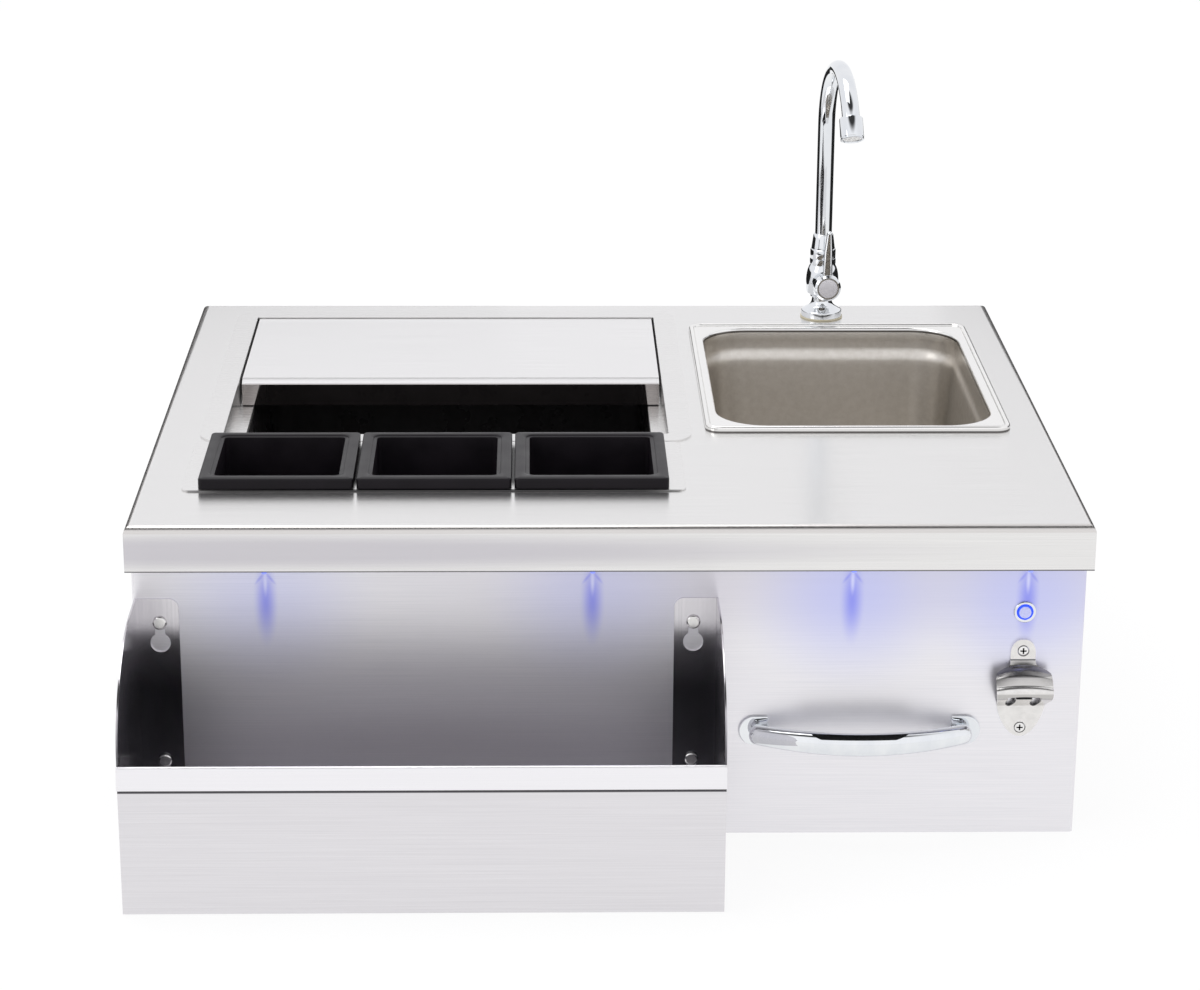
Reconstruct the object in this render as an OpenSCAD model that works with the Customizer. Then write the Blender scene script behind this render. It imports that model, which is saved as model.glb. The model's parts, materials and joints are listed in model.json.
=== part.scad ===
// Built-in bar centre: a stainless counter with an insulated ice bin, a small sink with a gooseneck
// tap, three condiment trays and a front panel that carries a speed rail, a towel bar, a bottle
// opener, a lit push button and four downlights. Sizes are in millimetres.
// Inside the modules x runs across the front from the middle, y runs back from the front lip and
// z runs up from the base. in_frame() then moves the origin below the middle of the whole object.

/* [Countertop] */
// Width of the countertop left of the ice bin's frame
left_margin = 37.7; // [32:0.1:60]
// Width of the countertop between the ice bin's frame and the sink's rim
middle_gap = 12.3; // [6:0.1:40]
// Width of the countertop right of the sink's rim
right_margin = 33; // [28:0.5:60]
// Depth of the countertop behind the ice bin's opening
back_margin = 50.4; // [46:0.1:80]
// Height of the top surface above the base
body_h = 270; // [255:1:320]
// Height of the front lip
lip_h = 38; // [34:1:46]
// Height of the edges turned down at the sides and the back
edge_drop = 12; // [10:1:20]
// Outer radius of the countertop's folded edges
edge_r = 7; // [4:0.5:9]
// Thickness of the countertop and front panel sheet
sheet = 1.5; // [1:0.1:2]

/* [Cabinet] */
// Distance from the countertop's side edges in to the front panel's sides
panel_inset = 3; // [2:0.1:6]
// Setback of the front panel behind the lip
panel_y = 15; // [13:0.5:18]
// Outer radius of the front panel's folded sides
fold_r = 3; // [2.1:0.1:5]
// Distance from the countertop's side edges in to the cabinet's sides
cabinet_inset = 31; // [31:0.5:34]
// Distance from the countertop's back edge in to the cabinet's back
back_inset = 15; // [12:0.5:18]
// Width of the cabinet's folded flanges
flange_w = 20; // [14:1:24]
// Thickness of the cabinet's side and back sheets
wall = 1.2; // [0.8:0.1:1.5]

/* [Ice bin] */
// Width of the ice bin's opening
bin_w = 378; // [340:1:430]
// Depth of the ice bin's opening, front to back
bin_d = 367; // [330:1:420]
// Width of the raised frame round the ice bin
bin_rim = 19.5; // [15:0.5:20]
// Thickness of the raised frame and the tray holder
frame_t = 1.2; // [0.8:0.1:1.5]
// Width of the ledges that carry the lid
ledge_w = 12; // [9:0.5:14]
// Depth of the ledges below the countertop
ledge_drop = 24; // [22:0.5:30]
// Height of the ice bin's floor above the base
bin_floor = 50; // [46:1:90]
// Wall thickness of the moulded liner
liner_t = 2; // [1.5:0.1:2.5]
// Thickness of the insulation
foam_t = 14; // [10:1:15]
// Thickness of the insulation's metal jacket
jacket_t = 1; // [0.6:0.1:1.5]
// Diameter of the ice bin's drain tail
ice_tail_d = 26; // [20:0.5:30]

/* [Lid] */
// Depth of the sliding lid, front to back
lid_d = 204; // [180:1:220]
// Gap between the lid and the bin's opening at each side
lid_gap = 2; // [1:0.1:3]
// Width of the sloped band along the lid's front edge
lid_band = 9; // [6:0.5:12]
// Height of the lid's plastic glides
glide_h = 4; // [3:0.5:6]

/* [Trays] */
// Width of one tray over its rim
tray_w = 125; // [112:0.5:126]
// Depth of one tray over its rim, front to back
tray_d = 124.5; // [112:0.5:140]
// Gap between neighbouring trays
tray_gap = 2.4; // [1.5:0.1:3]
// Distance of the middle tray to the left of the ice bin's middle
tray_side = 6.2; // [-2:0.1:8]
// Front edge of the trays
tray_y = 86.5; // [70:0.5:110]
// Height of a tray, floor to rim
tray_h = 100; // [70:1:130]
// Wall thickness of a tray
tray_t = 2.2; // [1.6:0.1:3]
// Width of a tray's rim
tray_rim = 10; // [8:0.5:12]
// Height of a tray's rim above its holder
tray_lift = 9; // [8:0.5:12]

/* [Sink] */
// Width of the sink's opening
sink_w = 238; // [200:1:270]
// Depth of the sink's opening, front to back
sink_d = 302; // [260:1:310]
// Depth of the countertop behind the sink's rim
sink_back = 85; // [80:1:110]
// Depth of the sink below its rim
sink_depth = 150; // [110:1:155]
// Corner radius of the sink's opening
sink_r = 42; // [36:1:50]
// Corner radius of the sink's rim
rim_r = 10; // [8:0.5:16]
// Width of the sink's rim
sink_rim = 12; // [10.5:0.5:14]
// Height of the sink's rim above the countertop
sink_lift = 3; // [2.5:0.1:4]
// Thickness of the pressed sink
sink_t = 0.9; // [0.7:0.1:1.2]
// Diameter of the sink drain's flange
drain_d = 80; // [74:1:90]
// Diameter of the sink drain's tailpiece
tail_d = 38.1; // [32:0.1:40]

/* [Faucet] */
// Distance of the faucet to the left of the sink's middle
faucet_side = 1; // [-10:1:10]
// Distance from the countertop's back edge to the faucet's middle
faucet_back = 43; // [42:0.5:50]
// Turn of the faucet to the right
faucet_turn = 5; // [-20:1:20]
// Diameter of the faucet's base
faucet_d = 38.6; // [34:0.2:44]
// Outer diameter of the spout's tube
tube_d = 16; // [14:0.5:17]
// Wall thickness of the spout's tube
tube_t = 1.2; // [0.8:0.1:2]
// Height of the spout's straight part above the countertop
spout_h = 187; // [120:1:240]
// Radius of the spout's bend
spout_r = 65; // [45:1:80]
// Angle of the spout's bend
spout_bend = 150; // [120:1:175]
// Length of the aerator's housing
aerator_l = 21; // [16:0.5:30]
// Height of the handle's axis above the countertop
handle_z = 36; // [34:0.5:38]
// Length of the lever above the handle's axis
lever_l = 56; // [40:1:70]
// Diameter of the handle's hub
hub_d = 25; // [22:0.5:26]

/* [Front fittings] */
// Distance from the countertop's right edge to the middle of the bottle opener and push button
opener_side = 51; // [48:0.5:70]
// Height of the push button
button_z = 192; // [186:1:198]
// Diameter of the push button's bezel
bezel_d = 18.4; // [17.6:0.2:22]
// Travel of the push button
button_travel = 2; // [1:0.1:2.5]
// Height of the bottle opener's lower screw
opener_z = 93.4; // [80:0.1:96]
// Distance between the bottle opener's screws
opener_pitch = 66; // [62:0.5:70]
// Width of the bottle opener
opener_w = 50; // [44:0.5:54]
// Thickness of the bottle opener's steel
opener_t = 2.4; // [2:0.1:3]
// Gap between the towel bar and the bottle opener
bar_gap = 6.5; // [4:0.5:20]
// Height of the towel bar
bar_z = 91; // [70:1:120]
// Distance between the ends of the towel bar
bar_l = 170; // [120:1:200]
// How far the towel bar stands out from the panel
bar_out = 44; // [36:1:60]
// Height of the towel bar's section at its middle
bar_h = 19; // [15:0.5:22]
// Distances of the downlights from the countertop's left edge
led_at = [108.5, 366.8, 573, 712.6];
// Diameter of a downlight's lens
led_d = 5; // [4:0.5:6]

/* [Speed rail] */
// Distance from the countertop's left edge to the speed rail
rail_side = 4.7; // [4:0.1:8]
// Gap between the speed rail and the towel bar
rail_gap = 17.8; // [8:0.1:60]
// How far the speed rail's face stands out from the panel
rail_out = 146; // [120:1:170]
// Height of the speed rail's face
rail_face_h = 123.4; // [100:0.1:140]
// Height of the speed rail's ends at the panel
rail_end_h = 204; // [200:0.5:205]
// Height of the speed rail above the base
rail_z = 1; // [0:0.5:4]
// Width of the folded band along the top of the speed rail's face
hem_h = 18; // [12:0.5:24]
// How far the lower edge of that band stands out
hem_out = 6; // [4.5:0.5:9]
// Width of the flanges that hang on the studs
hang_w = 35; // [32:0.5:40]
// Drop from the studs' rest to the keyholes' wide end
key_drop = 17; // [15:0.5:18]
// Diameter of the studs' shanks
stud_d = 7; // [6:0.1:7.4]
// Diameter of the studs' heads
stud_head_d = 11; // [9.5:0.5:12]

/* [Hidden] */
$fn = 64;

cut = 1;             // how far a cutter runs past the face that it opens
slip = 0.3;          // gap between pieces that are lifted or slid apart
loose = 1;           // gap round a piece that drops through a sheet
fit = 0.05;          // gap between a shaft and the bore that it turns in

tray_clear = 0.7;    // gap between the trays' rims and their holder's back edge
holder_gap = 1.4;    // gap between the tray holder and the ice bin's frame
holder_side = 13.6;  // flange of the tray holder beyond the row of trays
bar_flange_d = 25;

// Across the counter, the bin's frame, the sink's rim and the counter left between them add up.
top_w = left_margin + bin_w + 2 * bin_rim + middle_gap + sink_w + 2 * sink_rim + right_margin;
bin_x = -top_w / 2 + left_margin + bin_rim + bin_w / 2;
tray_x = bin_x - tray_side;
sink_x = top_w / 2 - right_margin - sink_rim - sink_w / 2;
faucet_x = sink_x - faucet_side;
panel_w = top_w - 2 * panel_inset;
cabinet_w = top_w - 2 * cabinet_inset;

// Across the panel, the opener, the towel bar and the rail follow each other from the right.
opener_x = top_w / 2 - opener_side;
bar_x = opener_x - opener_w / 2 - bar_gap - bar_flange_d / 2 - bar_l / 2;
rail_left = -top_w / 2 + rail_side;
rail_right = bar_x - bar_l / 2 - bar_flange_d / 2 - rail_gap;
rail_w = rail_right - rail_left;
rail_x = (rail_left + rail_right) / 2;
led_x = [for (a = led_at) a - top_w / 2];

// From the front lip back.
bin_y = tray_y + tray_d + tray_clear + holder_gap + bin_rim;
top_d = bin_y + bin_d + back_margin;
sink_y = top_d - sink_back - sink_rim - sink_d / 2;
faucet_y = top_d - faucet_back;
cabinet_back = top_d - back_inset;
front_y = panel_y - rail_out - hem_out;      // the foremost point of the whole object
mid_y = (top_d + front_y) / 2;

top_under = body_h - sheet;
lip_z = body_h - lip_h;
frame_top = body_h + frame_t;
panel_top = body_h - edge_r - slip;

// Ice bin
bin_mid_y = bin_y + bin_d / 2;
bin_corner = 3;
ledge_z = body_h - ledge_drop;
collar_h = 6;                                // the frame's wall below its ledges
throat_w = bin_w - 2 * ledge_w;
liner_w = throat_w + 2 * (frame_t + slip);   // inside of the liner
liner_d = bin_d + 2 * (frame_t + slip);
liner_r = 20;
liner_top = ledge_z - frame_t;
liner_floor = bin_floor;
liner_bend = 15;
foam_w = liner_w + 2 * (liner_t + foam_t);
foam_d = liner_d + 2 * (liner_t + foam_t);
foam_top = liner_top - liner_t;
foam_base = liner_floor - liner_t - foam_t;
jacket_base = foam_base - jacket_t;
ice_dish_r = 40;
ice_dish_h = 4;
ice_flange_d = 58;
ice_flange_t = 2;
ice_dish_z = liner_floor - ice_dish_h;
ice_gasket_t = 2;
ice_nut_h = 8;
ice_barrel_r = ice_tail_d / 2 + 1.5;         // threaded barrel, above the hose tail
ice_nut_z = jacket_base - ice_gasket_t - ice_nut_h;
tail_clear = 5;                              // height of both drain tails above the base

// Lid
lid_w = bin_w - 2 * lid_gap;
lid_back = bin_y + bin_d - 1.6;
lid_front = lid_back - lid_d;
lid_slope = 3.5;
glide_w = ledge_w - lid_gap - slip - 1;
glide_z = ledge_z + slip;
lid_skirt_z = glide_z + glide_h;

// Trays
tray_pitch = tray_w + tray_gap;
tray_mid_y = tray_y + tray_d / 2;
tray_corner = 4;
tray_body_r = 5;
tray_top = frame_top + slip + tray_lift;
tray_body_w = tray_w - 2 * tray_rim;         // outside of the body below the rim
tray_body_d = tray_d - 2 * tray_rim;
tray_draft = 1;
tray_bend = 2.5;
well_w = tray_body_w + 2.5;                  // hole that a tray drops into
well_d = tray_body_d + 2.5;
well_drop = 12;
holder_w = 3 * tray_w + 2 * (tray_gap + holder_side);
holder_y = tray_y - 2.5;
holder_back = bin_y - bin_rim - holder_gap;

// Sink
sink_top = body_h + sink_lift;
sink_floor = sink_top - sink_depth;
sink_bend = 18;
sink_draft = 8;
sink_shoulder = 4;
shoulder_drop = 22;
clip_w = 10;
clip_h = 14;
clip_t = 1.5;
drain_hole_r = drain_d / 2 - 7;
cup_r = drain_hole_r - 1;
cup_h = 34;
cup_t = 1.5;
cup_z = sink_floor - cup_h;
drain_seal_t = 2;
drain_nut_h = 8;
slip_nut_h = 14;
neck_h = 16;                                 // threaded neck below the cup
neck_r = tail_d / 2 + 1;
spigot_r = tail_d / 2 - 0.5;                 // the tailpiece's end inside its nut
slip_nut_z = cup_z - neck_h - slip_nut_h / 2;

// Faucet, with heights above the countertop
gasket_t = 1.5;
shank_r = 10.25;                             // threaded end for the supply hose
collar_r = shank_r + 0.5;                    // upper part, through the countertop and its nut
shank_l = 46;
hose_r = 20;                                 // clear way below the shank for its hose
faucet_hole_r = 12.5;
washer_t = 2;
faucet_nut_h = 8;
faucet_nut_z = -sheet - washer_t - faucet_nut_h;
body_top = 58;
socket_depth = 13;
nut_top = 82;
boss_l = 20;                                 // from the faucet's axis to the boss's face
bonnet_t = 2.5;
hub_t = 11;
stem_r = 4;
hub_front = boss_l + bonnet_t + slip + hub_t;
bend_end = [-spout_r + spout_r * cos(spout_bend), spout_h + spout_r * sin(spout_bend)];
aerator_d = tube_d + 5.5;

// Front fittings
bezel_t = 2.2;
barrel_r = bezel_d / 2 - 1.2;
button_ring_r = 6;
button_cap_r = 4.85;
flange_t = 3;
screw_head_r = 4.4;
led_y = panel_y / 2;

// Speed rail
rail_face_y = panel_y - rail_out;
rail_top = rail_z + rail_face_h;
rail_end_top = rail_z + rail_end_h;
hang_flat = 35;                              // flat top of the ends, next to the panel
slot_w = stud_d + 1;
key_d = stud_head_d + 5;
stud_z = [67, 185];
stud_inset = 19.7;                           // from the rail's side to a stud
stud_nut_w = 10;                             // across the flats
stud_x = [rail_left + stud_inset, rail_right - stud_inset];

steel = "#d9d9dc";
chrome = "#c3c7cc";
black = "#1c1b1d";

// Shapes that repeat

// Moves the origin from the front lip's base to below the middle of the object.
module in_frame() translate([0, -mid_y, 0]) children();

// Places the faucet's pieces: its axis at x = 0, y = 0, its front towards -y.
module at_faucet() in_frame() translate([faucet_x, faucet_y, body_h]) rotate(faucet_turn) children();

// Points along an arc about c.
function arc_points(c, r, from, to, n) =
    [for (i = [0:n]) let (a = from + (to - from) * i / n) c + r * [cos(a), sin(a)]];

function unit(v) = v / norm(v);
function left_of(v) = [-v.y, v.x];

// Point i of a path, moved sideways by t and mitred at the bend.
function beside(p, i, t) =
    let (last = len(p) - 1,
         a = left_of(unit(i > 0 ? p[i] - p[i - 1] : p[1] - p[0])),
         b = left_of(unit(i < last ? p[i + 1] - p[i] : p[last] - p[last - 1])),
         n = unit(a + b))
    p[i] + n * t / (n * a);

// The outline of a sheet of thickness t whose middle follows the path p.
function ribbon(p, t) =
    concat([for (i = [0:len(p) - 1]) beside(p, i, t / 2)],
           [for (i = [len(p) - 1:-1:0]) beside(p, i, -t / 2)]);

module rounded_rectangle(w, d, r) {
    square([w - 2 * r, d], center = true);
    square([w, d - 2 * r], center = true);
    for (x = [-1, 1], y = [-1, 1]) translate([x * (w / 2 - r), y * (d / 2 - r)]) circle(r);
}

module rounded_plate(w, d, h, r) linear_extrude(h) rounded_rectangle(w, d, r);

// A tube with a rounded rectangular bore w by d.
module rounded_tube(w, d, h, r, t) linear_extrude(h) difference() {
    rounded_rectangle(w + 2 * t, d + 2 * t, r + t);
    rounded_rectangle(w, d, r);
}

// Extrudes a section whose x is the object's y and whose y is the object's z.
module along_x(l) rotate([90, 0, 90]) linear_extrude(l, center = true) children();

// Extrudes a front view from y = 0 back to y = l.
module along_y(l) translate([0, l, 0]) rotate([90, 0, 0]) linear_extrude(l) children();

// Sweeps a wall's section round a rounded rectangle w by d. The section's x runs outwards from the
// corners' axes, so that x = r lies on the rectangle, and its floor starts at x = 0.
module swept_wall(w, d, r) for (k = [0:3]) rotate(90 * k) {
    side = (k % 2 == 0 ? w : d) - 2 * r;
    reach = (k % 2 == 0 ? d : w) / 2 - r;
    translate([side / 2, reach, 0]) rotate_extrude(angle = 90) children();
    translate([0, reach, 0]) along_x(side) children();
}

// The flat middle of such a pan's floor, from z = 0 up.
module floor_plate(w, d, r, t) linear_extrude(t) square([w - 2 * r, d - 2 * r], center = true);

module hexagon(across_flats, h) cylinder(d = across_flats / cos(30), h = h, $fn = 6);

module pipe(r_out, r_in, h) difference() {
    cylinder(r = r_out, h = h);
    translate([0, 0, -cut]) cylinder(r = r_in, h = h + 2 * cut);
}

// Turns a cylinder along the object's y, starting at y = 0 and running back.
module back_from() rotate([-90, 0, 0]) children();

// Counter and cabinet

// A block with its top edges rounded, its front at y = 0 and its top at body_h.
module edged_block(w, d, h, r) intersection() {
    translate([0, d / 2, 0]) along_x(w) edged_section(d, h, r);
    along_y(d) edged_section(w, h, r);
}

module edged_section(w, h, r) {
    translate([-w / 2, body_h - h]) square([w, h - r]);
    translate([-w / 2 + r, body_h - h]) square([w - 2 * r, h]);
    for (s = [-1, 1]) translate([s * (w / 2 - r), body_h - r]) circle(r);
}

// Everything that drops through the countertop.
module counter_cutouts() {
    translate([bin_x, bin_mid_y, body_h - edge_drop])
        rounded_plate(bin_w + 2 * (frame_t + loose), bin_d + 2 * (frame_t + loose), edge_drop + cut,
                      bin_corner);
    translate([tray_x, tray_mid_y, body_h - edge_drop])
        rounded_plate(2 * tray_pitch + well_w + 2 * (frame_t + loose), well_d + 2 * (frame_t + loose),
                      edge_drop + cut, tray_body_r);
    translate([sink_x, sink_y, body_h - edge_drop])
        rounded_plate(sink_w + 2 * (sink_t + loose), sink_d + 2 * (sink_t + loose), edge_drop + cut,
                      sink_r + loose);
    translate([faucet_x, faucet_y, body_h - edge_drop]) cylinder(r = faucet_hole_r, h = edge_drop + cut);
}

module countertop() color(steel) in_frame() difference() {
    union() {
        difference() {
            edged_block(top_w, top_d, lip_h, edge_r);
            translate([0, sheet, -sheet])
                edged_block(top_w - 2 * sheet, top_d - 2 * sheet, lip_h, edge_r - sheet);
            // the sides and the back are turned down less than the lip
            translate([-top_w, panel_y, lip_z - cut])
                cube([2 * top_w, top_d, lip_h - edge_drop + cut]);
        }
        translate([-top_w / 2 + sheet, sheet, lip_z]) cube([top_w - 2 * sheet, panel_y - sheet, sheet]);
    }
    counter_cutouts();
    for (x = led_x) translate([x, led_y, lip_z - cut]) cylinder(d = led_d + 2.4, h = sheet + 2 * cut);
}

// The front panel's plan: a front with folded sides that run back.
module panel_plan() intersection() {
    translate([0, panel_y + flange_w]) difference() {
        rounded_rectangle(panel_w, 2 * flange_w, fold_r);
        rounded_rectangle(panel_w - 2 * sheet, 2 * (flange_w - sheet), fold_r - sheet);
    }
    translate([-panel_w, panel_y]) square([2 * panel_w, flange_w]);
}

module panel_hole(x, z, d) translate([x, panel_y - cut, z]) back_from() cylinder(d = d, h = sheet + 2 * cut);

module front_panel() color(steel) in_frame() difference() {
    union() {
        linear_extrude(panel_top) panel_plan();
        translate([-cabinet_w / 2 + wall + loose, panel_y + sheet, 0])
            cube([cabinet_w - 2 * (wall + loose), flange_w - sheet, sheet]);
    }
    for (x = stud_x, z = stud_z) panel_hole(x, z, stud_d);
    for (z = [0, opener_pitch]) panel_hole(opener_x, opener_z + z, 4);
    for (s = [-1, 1]) panel_hole(bar_x + s * bar_l / 2, bar_z, 5);
    panel_hole(opener_x, button_z, 2 * barrel_r);
}

// A side sheet of the cabinet: flanges out at the front and top, in at the bottom.
module side_panel() {
    x = cabinet_w / 2;
    y = panel_y + sheet;
    flare = min(flange_w, panel_w / 2 - x - sheet) - slip;
    translate([x - wall, y, 0]) cube([wall, cabinet_back - y, top_under]);
    translate([x, y, 0]) cube([flare, wall, top_under]);
    translate([x, y, top_under - wall]) cube([flare, cabinet_back - y, wall]);
    translate([x - flange_w, panel_y + flange_w, 0])
        cube([flange_w, cabinet_back - panel_y - flange_w, wall]);
}

// The left panel's front flange has holes for the nuts of the speed rail's studs.
module left_side_panel() color(steel) in_frame() difference() {
    mirror([1, 0, 0]) side_panel();
    for (z = stud_z) translate([stud_x[0], panel_y + sheet - cut, z]) back_from()
        cylinder(d = stud_nut_w / cos(30) + loose, h = wall + 2 * cut);
}

module right_side_panel() color(steel) in_frame() side_panel();

// The back panel's bottom flange is notched where the tap's supply hose comes up.
module back_panel() color(steel) in_frame() {
    w = cabinet_w - 2 * wall;
    inner_w = cabinet_w - 2 * flange_w - loose;
    translate([-w / 2, cabinet_back - wall, wall]) cube([w, wall, top_under - wall]);
    translate([-w / 2, cabinet_back, top_under - wall])
        cube([w, top_d - edge_r - cabinet_back - slip, wall]);
    difference() {
        translate([-inner_w / 2, cabinet_back - flange_w, 0]) cube([inner_w, flange_w, wall]);
        translate([faucet_x, faucet_y, -cut]) cylinder(r = hose_r, h = wall + 2 * cut);
    }
}

// Ice bin

module ice_bin_frame() color(steel) in_frame() translate([bin_x, bin_mid_y, 0]) {
    // raised flange on the countertop
    translate([0, 0, body_h])
        rounded_tube(bin_w, bin_d, frame_t, bin_corner, bin_rim);
    // walls down to the ledges
    translate([0, 0, ledge_z - frame_t])
        rounded_tube(bin_w, bin_d, body_h - ledge_z + frame_t, bin_corner, frame_t);
    // a ledge along each side, and a collar into the liner that stops short of its round corners
    for (s = [-1, 1]) {
        translate([s * (bin_w - ledge_w) / 2, 0, ledge_z - frame_t / 2])
            cube([ledge_w, bin_d, frame_t], center = true);
        translate([s * (throat_w + frame_t) / 2, 0, ledge_z - collar_h / 2])
            cube([frame_t, bin_d - 2 * liner_r, collar_h], center = true);
        translate([0, s * (bin_d + frame_t) / 2, ledge_z - collar_h / 2])
            cube([throat_w - 2 * liner_r, frame_t, collar_h], center = true);
    }
}

liner_path = concat(
    [[0, liner_floor - liner_t / 2]],
    arc_points([liner_r + liner_t / 2 - liner_bend, liner_floor - liner_t / 2 + liner_bend],
               liner_bend, -90, 0, 8),
    [[liner_r + liner_t / 2, liner_top - liner_t / 2],
     [liner_r + liner_t + foam_t + jacket_t, liner_top - liner_t / 2]]);

module ice_bin_liner() color(black) in_frame() translate([bin_x, bin_mid_y, 0]) difference() {
    union() {
        swept_wall(liner_w, liner_d, liner_r) polygon(ribbon(liner_path, liner_t));
        translate([0, 0, liner_floor - liner_t]) floor_plate(liner_w, liner_d, liner_r, liner_t);
        translate([0, 0, ice_dish_z - liner_t])
            cylinder(r = ice_dish_r + liner_t, h = ice_dish_h + liner_t);
    }
    translate([0, 0, ice_dish_z]) cylinder(r = ice_dish_r, h = ice_dish_h + cut);
    translate([0, 0, ice_dish_z - liner_t - cut])
        cylinder(r = ice_barrel_r, h = liner_t + 2 * cut);
}

module ice_bin_insulation() color("#e6dfc4") in_frame() translate([bin_x, bin_mid_y, 0]) difference() {
    translate([0, 0, foam_base])
        rounded_plate(foam_w, foam_d, foam_top - foam_base, liner_r + foam_t);
    translate([0, 0, liner_floor - liner_t])
        rounded_plate(liner_w + 2 * liner_t, liner_d + 2 * liner_t, body_h, liner_r + liner_t);
    translate([0, 0, ice_dish_z - liner_t]) cylinder(r = ice_dish_r + liner_t, h = ice_dish_h + cut);
    translate([0, 0, foam_base - cut]) cylinder(r = ice_barrel_r, h = foam_t + 2 * cut);
}

module ice_bin_jacket() color("#a9adb0") in_frame() translate([bin_x, bin_mid_y, 0]) difference() {
    translate([0, 0, jacket_base])
        rounded_plate(foam_w + 2 * jacket_t, foam_d + 2 * jacket_t, foam_top - jacket_base,
                      liner_r + foam_t + jacket_t);
    translate([0, 0, foam_base]) rounded_plate(foam_w, foam_d, body_h, liner_r + foam_t);
    translate([0, 0, jacket_base - cut]) cylinder(r = ice_barrel_r, h = jacket_t + 2 * cut);
}

// A flange with drain holes, on a tail that runs down through the bin's floor.
module ice_drain_fitting() color(steel) in_frame() translate([bin_x, bin_mid_y, 0]) {
    tail_r = ice_tail_d / 2;
    difference() {
        union() {
            translate([0, 0, ice_dish_z]) cylinder(d = ice_flange_d, h = ice_flange_t);
            translate([0, 0, ice_nut_z]) cylinder(r = ice_barrel_r, h = ice_dish_z - ice_nut_z);
            translate([0, 0, tail_clear]) cylinder(r = tail_r, h = ice_dish_z - tail_clear);
        }
        translate([0, 0, tail_clear - cut]) cylinder(r = tail_r - 2, h = ice_dish_z - tail_clear + cut);
        for (a = [0:60:300]) rotate(a) translate([tail_r / 2, 0, ice_dish_z - cut])
            cylinder(r = 2.2, h = ice_flange_t + 2 * cut);
        translate([0, 0, ice_dish_z - cut]) cylinder(r = 2.2, h = ice_flange_t + 2 * cut);
    }
}

module ice_drain_gasket() color(black) in_frame()
    translate([bin_x, bin_mid_y, jacket_base - ice_gasket_t])
    pipe(ice_barrel_r + 6, ice_barrel_r, ice_gasket_t);

module ice_drain_locknut() color("#e9e7e2") in_frame()
    translate([bin_x, bin_mid_y, ice_nut_z]) difference() {
    hexagon(2 * ice_barrel_r + 10, ice_nut_h);
    translate([0, 0, -cut]) cylinder(r = ice_barrel_r, h = ice_nut_h + 2 * cut);
}

// Lid

lid_path = [
    [lid_back - wall / 2, lid_skirt_z],
    [lid_back - wall / 2, body_h - wall / 2],
    [lid_front + lid_band, body_h - wall / 2],
    [lid_front + wall / 2, body_h - wall / 2 - lid_slope],
    [lid_front + wall / 2, ledge_z + loose]
];

module lid_cover() color(steel) in_frame() translate([bin_x, 0, 0]) {
    along_x(lid_w) polygon(ribbon(lid_path, wall));
    for (s = [-1, 1]) translate([s * (lid_w - wall) / 2, 0, 0]) along_x(wall)
        polygon([[lid_back - wall, lid_skirt_z], [lid_back - wall, body_h - wall],
                 [lid_front + lid_band, body_h - wall], [lid_front + wall, body_h - wall - lid_slope],
                 [lid_front + wall, lid_skirt_z]]);
}

module lid_glides() color(black) in_frame() for (s = [-1, 1])
    translate([bin_x + s * (lid_w - glide_w) / 2, (lid_front + wall + lid_back) / 2, glide_z + glide_h / 2])
    cube([glide_w, lid_d - wall, glide_h], center = true);

// Trays

module tray_holder() color(steel) in_frame() {
    difference() {
        translate([tray_x, (holder_y + holder_back) / 2, body_h])
            rounded_plate(holder_w, holder_back - holder_y, frame_t, 8);
        for (k = [-1:1]) translate([tray_x + k * tray_pitch, tray_mid_y, body_h - cut])
            rounded_plate(well_w, well_d, frame_t + 2 * cut, tray_body_r);
    }
    for (k = [-1:1]) translate([tray_x + k * tray_pitch, tray_mid_y, body_h - well_drop])
        rounded_tube(well_w, well_d, well_drop, tray_body_r, frame_t);
}

tray_path = concat(
    [[0, tray_top - tray_h + tray_t / 2]],
    arc_points([tray_body_r - tray_t / 2 - tray_draft - tray_bend, tray_top - tray_h + tray_t / 2 + tray_bend],
               tray_bend, -90, -2, 6),
    [[tray_body_r - tray_t / 2, tray_top - tray_t]]);

// One condiment tray: a drafted body under a broad rim with a step inside and a skirt outside.
module tray(k) color(black) in_frame() translate([tray_x + k * tray_pitch, tray_mid_y, 0]) {
    r = tray_body_r;
    step = 2.5;
    swept_wall(tray_body_w, tray_body_d, r) polygon(ribbon(tray_path, tray_t));
    translate([0, 0, tray_top - tray_h]) floor_plate(tray_body_w, tray_body_d, r, tray_t);
    // inner step, then the rim and its skirt
    translate([0, 0, tray_top - tray_t - 1])
        rounded_tube(tray_body_w - 2 * tray_t, tray_body_d - 2 * tray_t, tray_t, r - tray_t, tray_t + step);
    translate([0, 0, tray_top - tray_t]) difference() {
        rounded_plate(tray_w, tray_d, tray_t, tray_corner);
        translate([0, 0, -cut])
            rounded_plate(tray_body_w + step, tray_body_d + step, tray_t + 2 * cut, r);
    }
    translate([0, 0, tray_top - tray_lift])
        rounded_tube(tray_w - 2 * tray_t, tray_d - 2 * tray_t, tray_lift, tray_corner - tray_t, tray_t);
}

module tray_left() tray(-1);
module tray_middle() tray(0);
module tray_right() tray(1);

// Sink

// From the middle of the floor, up the drafted wall, over the stacking shoulder and round the
// opening's rolled edge.
sink_path = concat(
    [[0, sink_floor]],
    arc_points([sink_r - sink_shoulder - sink_draft - sink_bend, sink_floor + sink_bend],
               sink_bend, -90, -4, 8),
    [[sink_r - sink_shoulder, sink_top - shoulder_drop - 4], [sink_r - 0.5, sink_top - shoulder_drop]],
    arc_points([sink_r + 3, sink_top - 3], 3, 180, 90, 4),
    [[sink_r + 5, sink_top]]);

// The rim's beaded edge, down to the countertop.
rim_path = concat(
    [[rim_r - 6, sink_top]],
    arc_points([rim_r - 2.5, sink_top], 2, 180, 0, 6),
    [[rim_r - 0.5, body_h]]);

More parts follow.
